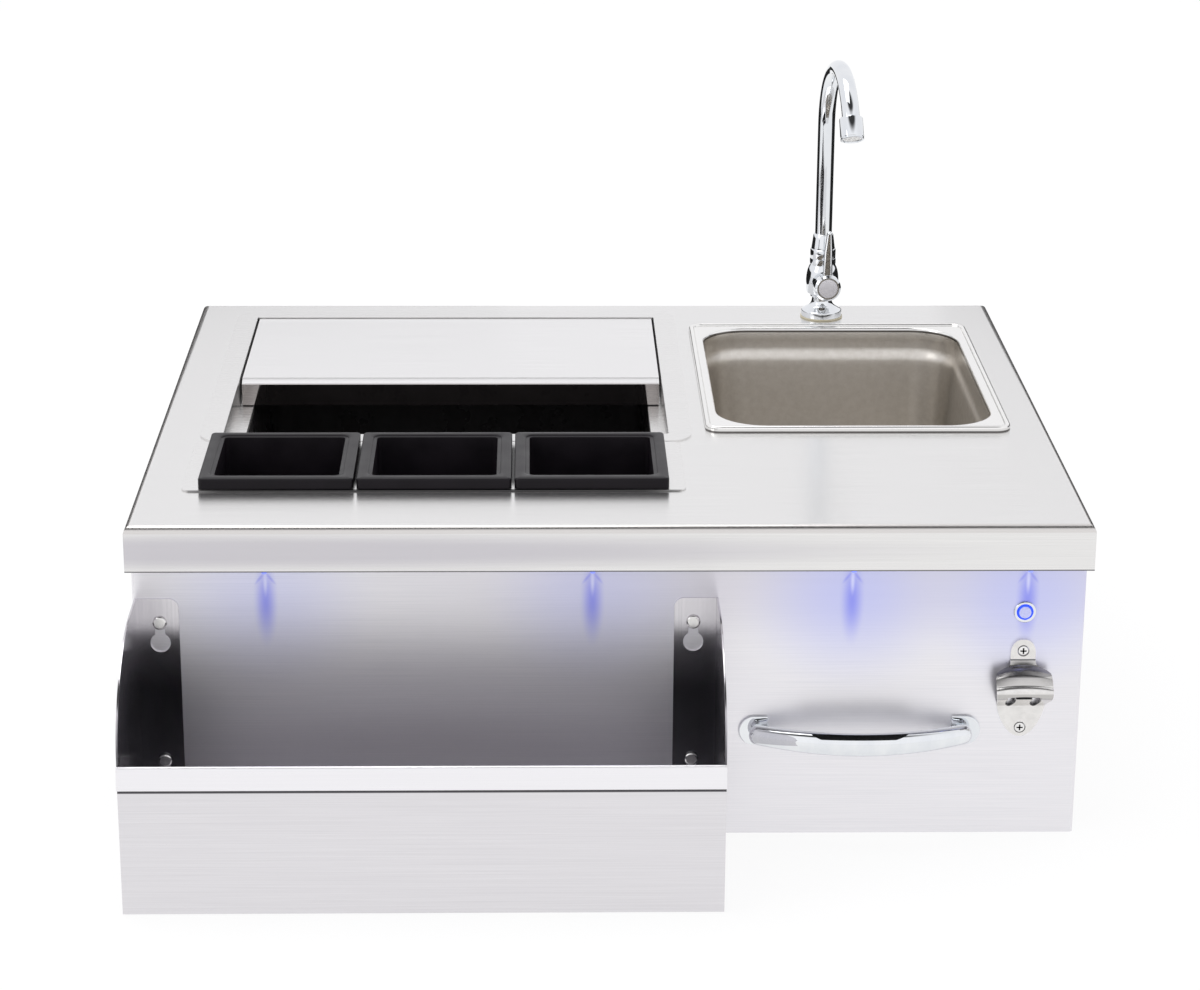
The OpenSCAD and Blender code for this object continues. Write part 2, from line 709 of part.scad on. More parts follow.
module sink_bowl() color(steel) in_frame() translate([sink_x, sink_y, 0]) difference() {
    union() {
        swept_wall(sink_w, sink_d, sink_r) polygon(ribbon(sink_path, sink_t));
        translate([0, 0, sink_floor - sink_t / 2]) floor_plate(sink_w, sink_d, sink_r, sink_t);
        swept_wall(sink_w + 2 * sink_rim, sink_d + 2 * sink_rim, rim_r) polygon(ribbon(rim_path, sink_t));
        translate([0, 0, sink_top - sink_t / 2]) difference() {
            edge = sink_rim - 5.5;
            rounded_plate(sink_w + 2 * edge, sink_d + 2 * edge, sink_t, rim_r - 5.5);
            translate([0, 0, -cut]) rounded_plate(sink_w + 8, sink_d + 8, sink_t + 2 * cut, sink_r + 4);
        }
    }
    translate([0, 0, sink_floor - cut]) cylinder(r = drain_hole_r, h = 2 * cut);
}

// Clips that hold the bowl to the countertop's underside, two at each side.
module sink_clips() color("#b4b7ba") in_frame() translate([sink_x, sink_y, top_under])
    for (s = [-1, 1], y = [-1, 1]) scale([s, 1, 1])
    translate([(sink_w + sink_t) / 2, y * sink_d / 4, 0]) {
    translate([0, -10, -clip_h]) cube([clip_t, 20, clip_h]);
    translate([0, -10, -clip_t]) cube([clip_w, 20, clip_t]);
}

// The drain's cup, with its flange on the sink's floor and a threaded neck below.
module drain_flange() color(chrome) in_frame() translate([sink_x, sink_y, 0]) {
    seat = sink_floor + sink_t / 2;
    rotate_extrude() polygon([
        [drain_d / 2, seat], [drain_d / 2 - 1.5, seat + 1.8], [cup_r - 1, seat + 1.2],
        [cup_r - cup_t, seat - 2], [cup_r - cup_t - 4, cup_z + cup_t], [neck_r - 4, cup_z + cup_t],
        [neck_r - 4, cup_z - neck_h], [neck_r, cup_z - neck_h], [neck_r, cup_z],
        [cup_r - 4, cup_z], [cup_r, seat - 4], [cup_r, seat]]);
}

module drain_gasket() color(black) in_frame()
    translate([sink_x, sink_y, sink_floor - sink_t / 2 - drain_seal_t])
    pipe(drain_d / 2 - 1, cup_r + 0.1, drain_seal_t);

module drain_locknut() color("#b9bcc0") in_frame()
    translate([sink_x, sink_y, sink_floor - sink_t / 2 - drain_seal_t - drain_nut_h]) difference() {
    hexagon(drain_d - 6, drain_nut_h);
    translate([0, 0, -cut]) cylinder(r = cup_r + 0.1, h = drain_nut_h + 2 * cut);
}

module drain_tailpiece() color(chrome) in_frame() translate([sink_x, sink_y, tail_clear]) difference() {
    union() {
        cylinder(d = tail_d, h = slip_nut_z - tail_clear);
        cylinder(r = spigot_r, h = cup_z - neck_h - tail_clear);
    }
    translate([0, 0, -cut]) cylinder(d = tail_d - 3, h = sink_floor);
}

module drain_slip_nut() color(chrome) in_frame() translate([sink_x, sink_y, slip_nut_z]) difference() {
    union() {
        hexagon(tail_d + 10, slip_nut_h * 0.6);
        cylinder(r = neck_r + 3, h = slip_nut_h);
    }
    translate([0, 0, -cut]) cylinder(r = spigot_r, h = slip_nut_h + 2 * cut);
    translate([0, 0, slip_nut_h / 2]) cylinder(r = neck_r, h = slip_nut_h);
}

// The lift-out strainer: a thin cup with drain holes, a rim on the flange and a knob.
module drain_basket() color(chrome) in_frame() translate([sink_x, sink_y, 0]) {
    seat = sink_floor + sink_t / 2;
    r = cup_r - cup_t - 5;
    base = cup_z + cup_t + 3;
    difference() {
        rotate_extrude() polygon([
            [cup_r + 2, seat + 2.2], [cup_r + 2, seat + 3], [r + 0.8, seat + 3], [r - 2, base + 1],
            [0, base + 1], [0, base], [r - 1.5, base], [r + 1.2, seat + 2.2]]);
        for (a = [0:36:324]) rotate(a) translate([r - 9, 0, base - cut]) cylinder(r = 2.4, h = 3 * cut);
    }
    translate([0, 0, base + 1]) rotate_extrude() polygon([
        [0, -0.5], [3, -0.5], [3, cup_h - 16], [7, cup_h - 12], [7, cup_h - 9], [5, cup_h - 7], [0, cup_h - 7]]);
}

// Faucet

module faucet_gasket() color("#cfc5a8") at_faucet() pipe(faucet_d / 2 + 0.8, collar_r, gasket_t);

// The turned body: base, bell, neck and bulb, with the valve's boss at the front.
body_outline = concat(
    [[0, gasket_t], [faucet_d / 2, gasket_t], [faucet_d / 2, 6.5]],
    arc_points([faucet_d / 2 - 1.5, 6.5], 1.5, 0, 90, 3),
    arc_points([faucet_d / 2 - 1.8, 17.5], 8, -110, -180, 6),
    [[10.8, 19.5]],
    [for (a = [-55:11:66]) [10.4 + 5.2 * cos(a), 35 + 17 * sin(a)]],
    [[12.4, 53], [12.4, body_top], [0, body_top]]);

module faucet_body() color(chrome) at_faucet() difference() {
    union() {
        rotate_extrude() polygon(body_outline);
        translate([0, -boss_l, handle_z]) back_from() cylinder(d = hub_d - 2, h = boss_l);
    }
    translate([0, 0, body_top - socket_depth]) cylinder(r = tube_d / 2 + 2, h = socket_depth + cut);
    translate([0, -boss_l - cut, handle_z]) back_from() cylinder(r = 9, h = boss_l - 3 + cut);
}

module faucet_shank() color("#b08d57") at_faucet() difference() {
    union() {
        translate([0, 0, gasket_t - shank_l]) cylinder(r = shank_r, h = shank_l);
        translate([0, 0, faucet_nut_z]) cylinder(r = collar_r, h = gasket_t - faucet_nut_z);
    }
    translate([0, 0, -shank_l]) cylinder(r = shank_r - 3, h = 2 * shank_l);
}

module faucet_washer() color(steel) at_faucet()
    translate([0, 0, -sheet - washer_t]) pipe(22, collar_r, washer_t);

module faucet_locknut() color("#b08d57") at_faucet()
    translate([0, 0, faucet_nut_z]) difference() {
    hexagon(30, faucet_nut_h);
    translate([0, 0, -cut]) cylinder(r = collar_r, h = faucet_nut_h + 2 * cut);
}

module spout_bush() color("#efeee9") at_faucet()
    translate([0, 0, body_top - socket_depth]) pipe(tube_d / 2 + 2, tube_d / 2 + fit, socket_depth);

module spout_nut() color(chrome) at_faucet() difference() {
    rotate_extrude() polygon([
        [0, body_top], [tube_d / 2 + 4, body_top], [tube_d / 2 + 4, body_top + 9],
        [tube_d / 2 + 3.4, body_top + 10], [tube_d / 2 + 2.2, nut_top - 2],
        [tube_d / 2 + 1.2, nut_top], [0, nut_top]]);
    translate([0, 0, body_top - cut]) cylinder(r = tube_d / 2 + fit, h = nut_top - body_top + 2 * cut);
}

module valve_cartridge() color("#e9e7e2") at_faucet() translate([0, -boss_l, handle_z]) back_from()
    pipe(9, stem_r + fit, boss_l - 3);

module cartridge_nut() color(chrome) at_faucet() translate([0, -boss_l - bonnet_t, handle_z]) back_from()
    pipe(10.5, stem_r + fit, bonnet_t);

// The swivelling spout: a straight tube and a bend, with a bore all the way.
module spout_tube() color(chrome) at_faucet() {
    start = body_top - socket_depth + slip;
    translate([0, 0, start]) pipe(tube_d / 2, tube_d / 2 - tube_t, spout_h - start);
    translate([0, -spout_r, spout_h]) rotate([90, 0, 90]) rotate_extrude(angle = spout_bend)
        translate([spout_r, 0]) difference() {
            circle(d = tube_d);
            circle(d = tube_d - 2 * tube_t);
        }
}

// Places what sits on the spout's end: z runs out along the tube.
module at_tip() at_faucet() translate([0, bend_end.x, bend_end.y]) rotate([spout_bend, 0, 0]) children();

module aerator_housing() color(chrome) at_tip() difference() {
    rotate_extrude() polygon([
        [0, 0], [aerator_d / 2 - 1.2, 0], [aerator_d / 2, 1.2], [aerator_d / 2, aerator_l - 1.5],
        [aerator_d / 2 - 1, aerator_l], [0, aerator_l]]);
    translate([0, 0, -cut]) cylinder(d = tube_d - 2 * tube_t, h = aerator_l);
    translate([0, 0, 3]) cylinder(d = tube_d + 1, h = aerator_l);
}

module aerator_screen() color("#d6dade") at_tip() translate([0, 0, aerator_l - 3]) difference() {
    cylinder(d = tube_d + 1, h = 2);
    for (a = [0:60:300]) rotate(a) for (r = [3, 6]) translate([r, 0, -cut]) cylinder(r = 0.9, h = 2 + 2 * cut);
}

// The hub and its lever, which turns about the boss's axis.
module handle_lever() color(chrome) at_faucet() translate([0, -hub_front, handle_z]) difference() {
    union() {
        back_from() rotate_extrude() polygon([
            [0, 0], [hub_d / 2 - 2, 0], [hub_d / 2, 2], [hub_d / 2, hub_t - 1], [hub_d / 2 - 1, hub_t], [0, hub_t]]);
        hull() {
            translate([0, hub_t / 2, hub_d / 2 - 3]) scale([1, 0.7, 1]) sphere(d = 9, $fn = 24);
            translate([0, hub_t / 2 - 2, lever_l * 0.62]) scale([1, 0.6, 1]) sphere(d = 8, $fn = 24);
        }
        hull() {
            translate([0, hub_t / 2 - 2, lever_l * 0.62]) scale([1, 0.6, 1]) sphere(d = 8, $fn = 24);
            translate([0, hub_t / 2 - 4.5, lever_l - 2.5]) sphere(d = 5, $fn = 24);
        }
    }
    translate([0, 4, 0]) back_from() cylinder(r = stem_r, h = hub_t);
    translate([0, -cut, 0]) back_from() cylinder(r = 9, h = 2 + cut);
    translate([0, 1, 0]) back_from() cylinder(r = 2, h = hub_t);
}

module valve_stem() color("#b08d57") at_faucet() translate([0, -hub_front + 4, handle_z]) back_from() difference() {
    cylinder(r = stem_r, h = hub_front - 4 - 5);
    translate([0, 0, -cut]) cylinder(r = 2, h = 8 + cut);
}

module handle_screw() color(steel) at_faucet() translate([0, -hub_front + 2, handle_z]) back_from() {
    translate([0, 0, -1.2]) cylinder(r = 3.6, h = 1.2);
    cylinder(r = 2, h = 9);
}

module index_button() color("#e4e4e6") at_faucet() translate([0, -hub_front, handle_z]) back_from()
    rotate_extrude() polygon([[0, -1.4], [5, -1.2], [8, -0.4], [9, 0], [9, 2], [7.5, 2], [7.5, 0.7], [0, 0.7]]);

// Push button and downlights

module at_button() in_frame() translate([opener_x, panel_y, button_z]) back_from() children();

button_depth = 22;

module button_housing() color(chrome) at_button() difference() {
    rotate_extrude() polygon([
        [0, -bezel_t], [button_ring_r + 0.6, -bezel_t], [bezel_d / 2, -0.6], [bezel_d / 2, 0],
        [barrel_r, 0], [barrel_r, button_depth], [0, button_depth]]);
    translate([0, 0, -bezel_t - cut]) cylinder(r = button_ring_r, h = bezel_t + cut + 12);
}

module button_light_ring() color("#3a5cff") at_button()
    translate([0, 0, -bezel_t + 0.3]) pipe(button_ring_r, button_cap_r + fit, 6);

module button_nut() color(steel) at_button() translate([0, 0, sheet]) difference() {
    hexagon(2 * barrel_r + 3.5, 3);
    translate([0, 0, -cut]) cylinder(r = barrel_r, h = 3 + 2 * cut);
}

// The cap, which travels back when it is pressed.
module button_cap() color("#cdd0f0") at_button() translate([0, 0, -bezel_t - 0.4])
    cylinder(r = button_cap_r, h = 14 - button_travel - slip);

module at_leds() in_frame() for (x = led_x) translate([x, led_y, lip_z]) children();

module led_holders() color(chrome) at_leds() difference() {
    union() {
        translate([0, 0, -1.2]) cylinder(d1 = led_d + 2.6, d2 = led_d + 4, h = 1.2);
        cylinder(d = led_d + 2.4, h = 12);
    }
    translate([0, 0, -1.2 - cut]) cylinder(d = led_d, h = 10);
}

module led_lenses() color("#b9c4ff") at_leds() {
    translate([0, 0, -1.6]) cylinder(d = led_d, h = 9);
    intersection() {
        translate([0, 0, -1.6]) sphere(d = led_d);
        translate([0, 0, -1.6 - led_d]) cylinder(d = led_d, h = led_d);
    }
}

// Towel bar

bar_rings = 28;
bar_sides = 20;

// Along the bar, a runs from 0 to 180 degrees and the bar bows out as half an oval.
function bar_place(a) = [-bar_l / 2 * cos(a), -flange_t - (bar_out - flange_t - 4) * pow(sin(a), 0.85)];
function bar_tilt(a) = let (d = bar_place(min(a + 1, 180)) - bar_place(max(a - 1, 0))) atan2(d.y, d.x);
function bar_ring(a) =
    let (c = bar_place(a), tilt = a <= 0 ? -90 : a >= 180 ? 90 : bar_tilt(a),
         high = 6 + (bar_h / 2 - 6) * sin(a), thick = 4.5 - 0.5 * sin(a))
    [for (i = [0:bar_sides - 1]) let (b = 360 * i / bar_sides)
        [c.x - thick * cos(b) * sin(tilt), c.y + thick * cos(b) * cos(tilt), high * sin(b)]];

module towel_bar() color(chrome) in_frame() translate([bar_x, panel_y, bar_z])
    polyhedron(
        points = [for (i = [0:bar_rings]) each bar_ring(180 * i / bar_rings)],
        faces = concat(
            [[for (i = [0:bar_sides - 1]) i]],
            [for (r = [0:bar_rings - 1], i = [0:bar_sides - 1]) let (j = (i + 1) % bar_sides, a = r * bar_sides)
                each [[a + i, a + bar_sides + i, a + bar_sides + j], [a + i, a + bar_sides + j, a + j]]],
            [[for (i = [bar_sides - 1:-1:0]) bar_rings * bar_sides + i]]));

// A D-shaped base at each end, round to the outside.
module towel_bar_flanges() color(chrome) in_frame() translate([bar_x, panel_y - flange_t, bar_z])
    for (s = [-1, 1]) scale([s, 1, 1]) translate([bar_l / 2, 0, 0]) difference() {
    along_y(flange_t) {
        circle(d = bar_flange_d);
        translate([-bar_flange_d / 2 + 1, -bar_flange_d / 2]) square([bar_flange_d / 2 - 1, bar_flange_d]);
    }
    translate([0, -cut, 0]) back_from() cylinder(d = 5, h = flange_t + 2 * cut);
}

module towel_bar_screws() color(steel) in_frame()
    for (s = [-1, 1]) translate([bar_x + s * bar_l / 2, panel_y - flange_t, bar_z]) back_from() {
    cylinder(d = 5, h = flange_t + sheet);
    translate([0, 0, flange_t + sheet]) cylinder(r = 4.5, h = 3);
}

// Bottle opener

// Side view of the bent steel, from the top tab, out over the hood and back to the lower plate.
// In it x runs out from the panel and y is the height above the lower screw.
hood_out = 23;
slot_x = 10.7;                               // from the middle to each of the mouth's slots
slot_r = 3;
slot_z = opener_pitch - 42.5;
mouth_top = slot_z + 6;
plate_w = 41;                                // lower plate, at its widest
plate_z = opener_pitch - 47;
plate_drop = plate_z + 8;
opener_path = concat(
    [[opener_t / 2, opener_pitch + 9.5], [opener_t / 2, opener_pitch - 7.5]],
    [[13, opener_pitch - 15], [hood_out - 2.2, opener_pitch - 23]],
    arc_points([hood_out - opener_t / 2 - 4, opener_pitch - 28], 4, 35, -40, 4),
    [[9, opener_pitch - 42], [opener_t / 2 + 1.5, opener_pitch - 46], [opener_t / 2, opener_pitch - 49],
     [opener_t / 2, -9.5]]);

// Front view: the tab, the broad hood and the rounded lower plate.
module opener_outline() {
    tab_r = 10.4;
    translate([0, opener_pitch]) circle(tab_r);
    translate([-tab_r, opener_pitch - 12]) square([2 * tab_r, 12]);
    polygon([
        [-tab_r, opener_pitch - 8], [-tab_r - 2, opener_pitch - 11], [-opener_w / 2 + 2, opener_pitch - 15],
        [-opener_w / 2, opener_pitch - 17], [-opener_w / 2 + 1.5, opener_pitch - 34],
        [-opener_w / 2 + 4, opener_pitch - 42], [-plate_w / 2, plate_z], [plate_w / 2, plate_z],
        [opener_w / 2 - 4, opener_pitch - 42], [opener_w / 2 - 1.5, opener_pitch - 34],
        [opener_w / 2, opener_pitch - 17], [opener_w / 2 - 2, opener_pitch - 15],
        [tab_r + 2, opener_pitch - 11], [tab_r, opener_pitch - 8]]);
    translate([0, plate_z]) intersection() {
        scale([plate_w / 2, plate_drop]) circle(1);
        translate([-plate_w / 2, -plate_drop]) square([plate_w, plate_drop]);
    }
}

// The mouth: two round-ended slots beside a tongue that catches the cap.
module opener_mouth() {
    for (s = [-1, 1]) scale([s, 1]) translate([slot_x, slot_z]) {
        circle(slot_r);
        translate([-slot_r, 0]) square([2 * slot_r, mouth_top - slot_z]);
        polygon([[-slot_r, 0], [-slot_r, mouth_top - slot_z], [-slot_r - 2, mouth_top - slot_z],
                 [-slot_r - 2, slot_r]]);
    }
    translate([-slot_x, slot_z + slot_r]) square([2 * slot_x, mouth_top - slot_z - slot_r]);
}

module bottle_opener() color(chrome) in_frame() translate([opener_x, panel_y, opener_z]) difference() {
    intersection() {
        mirror([0, 1, 0]) along_x(opener_w) polygon(ribbon(opener_path, opener_t));
        translate([0, -hood_out - 2, 0]) along_y(hood_out + 2) opener_outline();
    }
    translate([0, -hood_out - 2, 0]) along_y(hood_out) opener_mouth();
    for (z = [0, opener_pitch]) translate([0, -opener_t - cut, z]) back_from() {
        cylinder(d = 4, h = opener_t + 2 * cut);
        cylinder(d1 = 2 * (screw_head_r + cut), d2 = 4, h = screw_head_r - 2 + cut);
    }
}

module opener_screws() color(steel) in_frame() for (z = [0, opener_pitch])
    translate([opener_x, panel_y - opener_t, opener_z + z]) back_from() {
    difference() {
        cylinder(d1 = 2 * screw_head_r, d2 = 4, h = screw_head_r - 2);
        for (a = [0, 90]) rotate(a) translate([-2.4, -0.5, -cut]) cube([4.8, 1, 1.2 + cut]);
    }
    translate([0, 0, screw_head_r - 2]) cylinder(d = 4, h = opener_t + sheet + 8 - screw_head_r + 2);
}

// Speed rail

module at_studs() in_frame() for (x = stud_x, z = stud_z) translate([x, panel_y, z]) back_from() children();

module rail_studs() color(steel) at_studs() {
    translate([0, 0, -sheet - slip]) cylinder(d = stud_d, h = 2 * sheet + slip + 5);
    translate([0, 0, -sheet - slip - 2]) cylinder(d = stud_head_d, h = 2);
    translate([0, 0, -sheet - slip - 3]) cylinder(d1 = stud_head_d - 3, d2 = stud_head_d, h = 1);
}

module rail_stud_nuts() color("#b4b7ba") at_studs() translate([0, 0, sheet]) difference() {
    hexagon(stud_nut_w, 4);
    translate([0, 0, -cut]) cylinder(d = stud_d, h = 4 + 2 * cut);
}

// Side view of the rail's sheet: a low lip at the back, the floor, the face and the folded band.
fold_y = rail_face_y + sheet / 2;
rail_path = concat(
    [[panel_y - slip - sheet / 2, rail_z + 12], [panel_y - slip - sheet / 2, rail_z + sheet / 2],
     [fold_y, rail_z + sheet / 2]],
    arc_points([fold_y - 1.5, rail_top - sheet / 2 - 1.5], 1.5, 0, 160, 6),
    [[rail_face_y - hem_out + sheet / 2, rail_top - hem_h]]);

module rail_trough() color(steel) in_frame() difference() {
    translate([rail_x, 0, 0]) along_x(rail_w) polygon(ribbon(rail_path, sheet));
    // the ends stand behind the face, and the back lip clears their hanging flanges
    for (s = [-1, 1]) translate([rail_x + s * rail_w / 2, 0, 0]) {
        translate([-sheet, rail_face_y + sheet, rail_z - cut]) cube([2 * sheet, rail_out, rail_top]);
        translate([-hang_w, panel_y - 2 * sheet - slip, rail_z - cut]) cube([2 * hang_w, 3 * sheet, 14 + cut]);
    }
}

// Side view of a rail end: flat at the panel, then a quarter of an oval down to the face.
end_outline = concat(
    [[panel_y, rail_z], [panel_y, rail_end_top]],
    [for (a = [90:7.5:180]) [panel_y - hang_flat + (rail_out - hang_flat - sheet) * cos(a),
                             rail_top + (rail_end_top - rail_top) * sin(a)]],
    [[rail_face_y + sheet, rail_z]]);

module keyhole(drop) {
    circle(d = slot_w);
    translate([-slot_w / 2, -drop]) square([slot_w, drop]);
    translate([0, -drop]) circle(d = key_d);
}

// One end plate and its hanging flange. s is -1 at the left and 1 at the right.
module rail_end(s) color(steel) in_frame() {
    side = rail_x + s * rail_w / 2;
    translate([side - s * sheet / 2, 0, 0]) along_x(sheet) polygon(end_outline);
    difference() {
        translate([side - s * hang_w / 2, panel_y - sheet, 0]) along_y(sheet) union() {
            translate([-hang_w / 2, rail_z]) square([hang_w, rail_end_h - 8]);
            translate([-hang_w / 2 + 8, rail_z]) square([hang_w - 16, rail_end_h]);
            translate([s * (hang_w / 2 - 8), rail_end_top - 8]) square([16, 16], center = true);
            translate([-s * (hang_w / 2 - 8), rail_end_top - 8]) circle(8);
        }
        for (z = stud_z) translate([side - s * stud_inset, panel_y - sheet - cut, z])
            along_y(sheet + 2 * cut) keyhole(key_drop);
    }
}

module rail_end_left() rail_end(-1);
module rail_end_right() rail_end(1);

countertop();
front_panel();
left_side_panel();
right_side_panel();
back_panel();
ice_bin_frame();
ice_bin_liner();
ice_bin_insulation();
ice_bin_jacket();
ice_drain_fitting();
ice_drain_gasket();
ice_drain_locknut();
tray_holder();
sink_bowl();
sink_clips();
drain_flange();
drain_gasket();
drain_locknut();
drain_tailpiece();
drain_slip_nut();
drain_basket();
faucet_gasket();
faucet_body();
faucet_shank();
faucet_washer();
faucet_locknut();
valve_cartridge();
cartridge_nut();
spout_bush();
spout_nut();
spout_tube();
aerator_housing();
aerator_screen();
handle_lever();
valve_stem();
handle_screw();
index_button();
button_housing();
button_light_ring();
button_nut();
button_cap();
led_holders();
led_lenses();
towel_bar();
towel_bar_flanges();
towel_bar_screws();
bottle_opener();
opener_screws();
rail_studs();
rail_stud_nuts();
lid_cover();
lid_glides();
tray_left();
tray_middle();
tray_right();
rail_trough();
rail_end_left();
rail_end_right();
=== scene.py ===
import json
import math
import bmesh
import bpy
from mathutils import Matrix, Vector


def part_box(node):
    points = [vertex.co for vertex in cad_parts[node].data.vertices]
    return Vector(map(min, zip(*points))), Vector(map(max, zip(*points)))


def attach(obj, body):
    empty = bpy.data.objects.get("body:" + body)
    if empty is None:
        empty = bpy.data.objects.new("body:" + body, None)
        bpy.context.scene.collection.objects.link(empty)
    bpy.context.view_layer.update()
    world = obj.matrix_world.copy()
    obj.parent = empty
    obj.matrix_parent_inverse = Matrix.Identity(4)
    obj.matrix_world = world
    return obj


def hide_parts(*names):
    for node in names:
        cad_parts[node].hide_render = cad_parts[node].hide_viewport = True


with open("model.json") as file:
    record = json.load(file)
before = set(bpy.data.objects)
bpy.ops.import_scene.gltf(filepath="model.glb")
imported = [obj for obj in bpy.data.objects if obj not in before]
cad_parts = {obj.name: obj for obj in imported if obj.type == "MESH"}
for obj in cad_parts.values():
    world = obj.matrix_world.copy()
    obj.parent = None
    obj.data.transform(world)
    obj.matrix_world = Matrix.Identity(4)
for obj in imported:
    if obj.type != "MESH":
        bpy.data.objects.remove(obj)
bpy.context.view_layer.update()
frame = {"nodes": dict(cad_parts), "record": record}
nodes = frame["nodes"]
bodyOf = {node: body for body, members in frame["record"]["behaviour"]["bodies"].items() for node in members}
mm = 0.001


def setMode(mode):
    bpy.ops.object.mode_set(mode=mode)


def activate(piece):
    if bpy.context.object and bpy.context.object.mode != "OBJECT":
        setMode("OBJECT")
    bpy.ops.object.select_all(action="DESELECT")
    piece.select_set(True)
    bpy.context.view_layer.objects.active = piece


def deselectAll():
    bpy.ops.object.select_all(action="DESELECT")


def applyModifiers(piece):
    activate(piece)
    for modifier in list(piece.modifiers):
        bpy.ops.object.modifier_apply(modifier=modifier.name)


def addModifier(piece, kind, **settings):
    modifier = piece.modifiers.new(kind.title(), kind)
    for key, value in settings.items():
        setattr(modifier, key, value)


def breakEdges(piece, widthMm, segments=2, angle=35):
    # sharp edges get a small round, and the flats keep their own normals
    addModifier(piece, "BEVEL", width=widthMm * mm, segments=segments, limit_method="ANGLE",
                angle_limit=math.radians(angle), use_clamp_overlap=True)
    applyModifiers(piece)
    smoothByAngle(piece, angle)
    addModifier(piece, "WEIGHTED_NORMAL", keep_sharp=True)
    applyModifiers(piece)


def smoothByAngle(piece, angle=35):
    activate(piece)
    bpy.ops.object.shade_smooth_by_angle(angle=math.radians(angle))


def editAll(piece):
    activate(piece)
    setMode("EDIT")
    bpy.ops.mesh.select_all(action="SELECT")


def flipFaces(piece):
    editAll(piece)
    bpy.ops.mesh.flip_normals()
    setMode("OBJECT")


def recalculate(piece):
    editAll(piece)
    bpy.ops.mesh.remove_doubles(threshold=0.002 * mm)
    bpy.ops.mesh.normals_make_consistent(inside=False)
    setMode("OBJECT")


def finishPiece(piece, material, *replaced):
    # the piece takes the given material, and its body from the first node that it stands for; those nodes are
    # hidden
    activate(piece)
    bpy.ops.object.transform_apply(location=True, rotation=True, scale=True)
    piece.data.materials.clear()
    piece.data.materials.append(material)
    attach(piece, bodyOf[replaced[0]])
    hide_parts(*replaced)


def unite(piece, other, operation="DIFFERENCE"):
    # joins another object to the piece, or cuts the piece with it
    addModifier(piece, "BOOLEAN", operation=operation, object=other, solver="EXACT")
    applyModifiers(piece)
    bpy.data.objects.remove(other)


def turned(name, profile, sides=64):
    # a disc is extruded and scaled along the profile, as on a lathe; radii and heights in mm
    deselectAll()
    radius, height = profile[0]
    bpy.ops.mesh.primitive_circle_add(vertices=sides, radius=radius * mm, fill_type="NGON")
    piece = bpy.context.object
    piece.name = name
    setMode("EDIT")
    bpy.ops.mesh.select_all(action="SELECT")
    bpy.ops.transform.translate(value=(0, 0, height * mm))
    for nextRadius, nextHeight in profile[1:]:
        ratio = nextRadius / radius
        move = (0, 0, (nextHeight - height) * mm)
        bpy.ops.mesh.extrude_region_move(TRANSFORM_OT_translate={"value": move})
        bpy.ops.transform.resize(value=(ratio, ratio, 1), center_override=(0, 0, nextHeight * mm))
        radius, height = nextRadius, nextHeight
    setMode("OBJECT")
    recalculate(piece)
    return piece


def arc(cx, cz, radius, start, end, steps):
    # points of an arc of a profile, with angles in degrees
    angles = [math.radians(start + (end - start) * i / steps) for i in range(steps + 1)]
    return [(cx + radius * math.cos(a), cz + radius * math.sin(a)) for a in angles]


def boxMiddle(node):
    low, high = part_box(node)
    return (low + high) / 2


def addRoundFace(place, size, corner, segments):
    # in edit mode, adds a flat face with round corners; places in metres, sizes in mm
    bpy.ops.mesh.primitive_plane_add(size=mm, location=place)
    bpy.ops.transform.resize(value=(size[0], size[1], 1), center_override=place)
    bpy.ops.mesh.select_mode(type="VERT")
    bpy.ops.mesh.bevel(offset=corner * mm, offset_type="OFFSET", segments=segments, affect="VERTICES")


def stepInwards(profile):
    # the selected face is inset along a profile of (inwards, height) points in mm
    for (inwards, height), (nextInwards, nextHeight) in zip(profile, profile[1:]):
        bpy.ops.mesh.inset(thickness=(nextInwards - inwards) * mm, depth=(nextHeight - height) * mm)


def pressedPan(name, middle, size, rim, well, wallMm):
    # a pan pressed from sheet or moulded: its rim from the outside in, then its well, bridged and
    # given a wall; both are a corner radius, a start and a profile of (inwards, height)
    deselectAll()
    place = (middle.x, middle.y, middle.z)
    bpy.ops.mesh.primitive_plane_add(size=mm, location=place)
    piece = bpy.context.object
    piece.name = name
    setMode("EDIT")
    bpy.ops.mesh.delete(type="VERT")
    for part in (rim, well):
        start, height = part["profile"][0]
        partPlace = Vector(place) + Vector((0, 0, height * mm))
        addRoundFace(partPlace, (size[0] - 2 * start, size[1] - 2 * start), part["corner"], 10)
        newest = len(bmesh.from_edit_mesh(piece.data).faces) - 1
        bpy.ops.mesh.select_mode(type="FACE")
        bpy.ops.mesh.select_all(action="DESELECT")
        mesh = bmesh.from_edit_mesh(piece.data)
        mesh.faces.ensure_lookup_table()
        mesh.faces[newest].select_set(True)
        bmesh.update_edit_mesh(piece.data)
        stepInwards(part["profile"])
        if part is rim:
            bpy.ops.mesh.delete(type="ONLY_FACE")
    bpy.ops.mesh.select_mode(type="EDGE")
    bpy.ops.mesh.select_all(action="DESELECT")
    bridged = (rim["profile"][-1][1], well["profile"][0][1])
    outer = rim["profile"][0][1]
    mesh = bmesh.from_edit_mesh(piece.data)
    for edge in mesh.edges:
        if edge.is_boundary or edge.is_wire:
            height = (edge.verts[0].co.z + piece.location.z - place[2]) / mm
            if any(abs(height - level) < 0.02 for level in bridged) and abs(height - outer) > 0.05:
                edge.select_set(True)
    bmesh.update_edit_mesh(piece.data)
    bpy.ops.mesh.bridge_edge_loops()
    setMode("OBJECT")
    recalculate(piece)
    if max(piece.data.polygons, key=lambda face: face.area).normal.z < 0:
        flipFaces(piece)
    addModifier(piece, "SOLIDIFY", thickness=wallMm * mm, offset=-1, use_even_offset=True)
    applyModifiers(piece)
    return piece


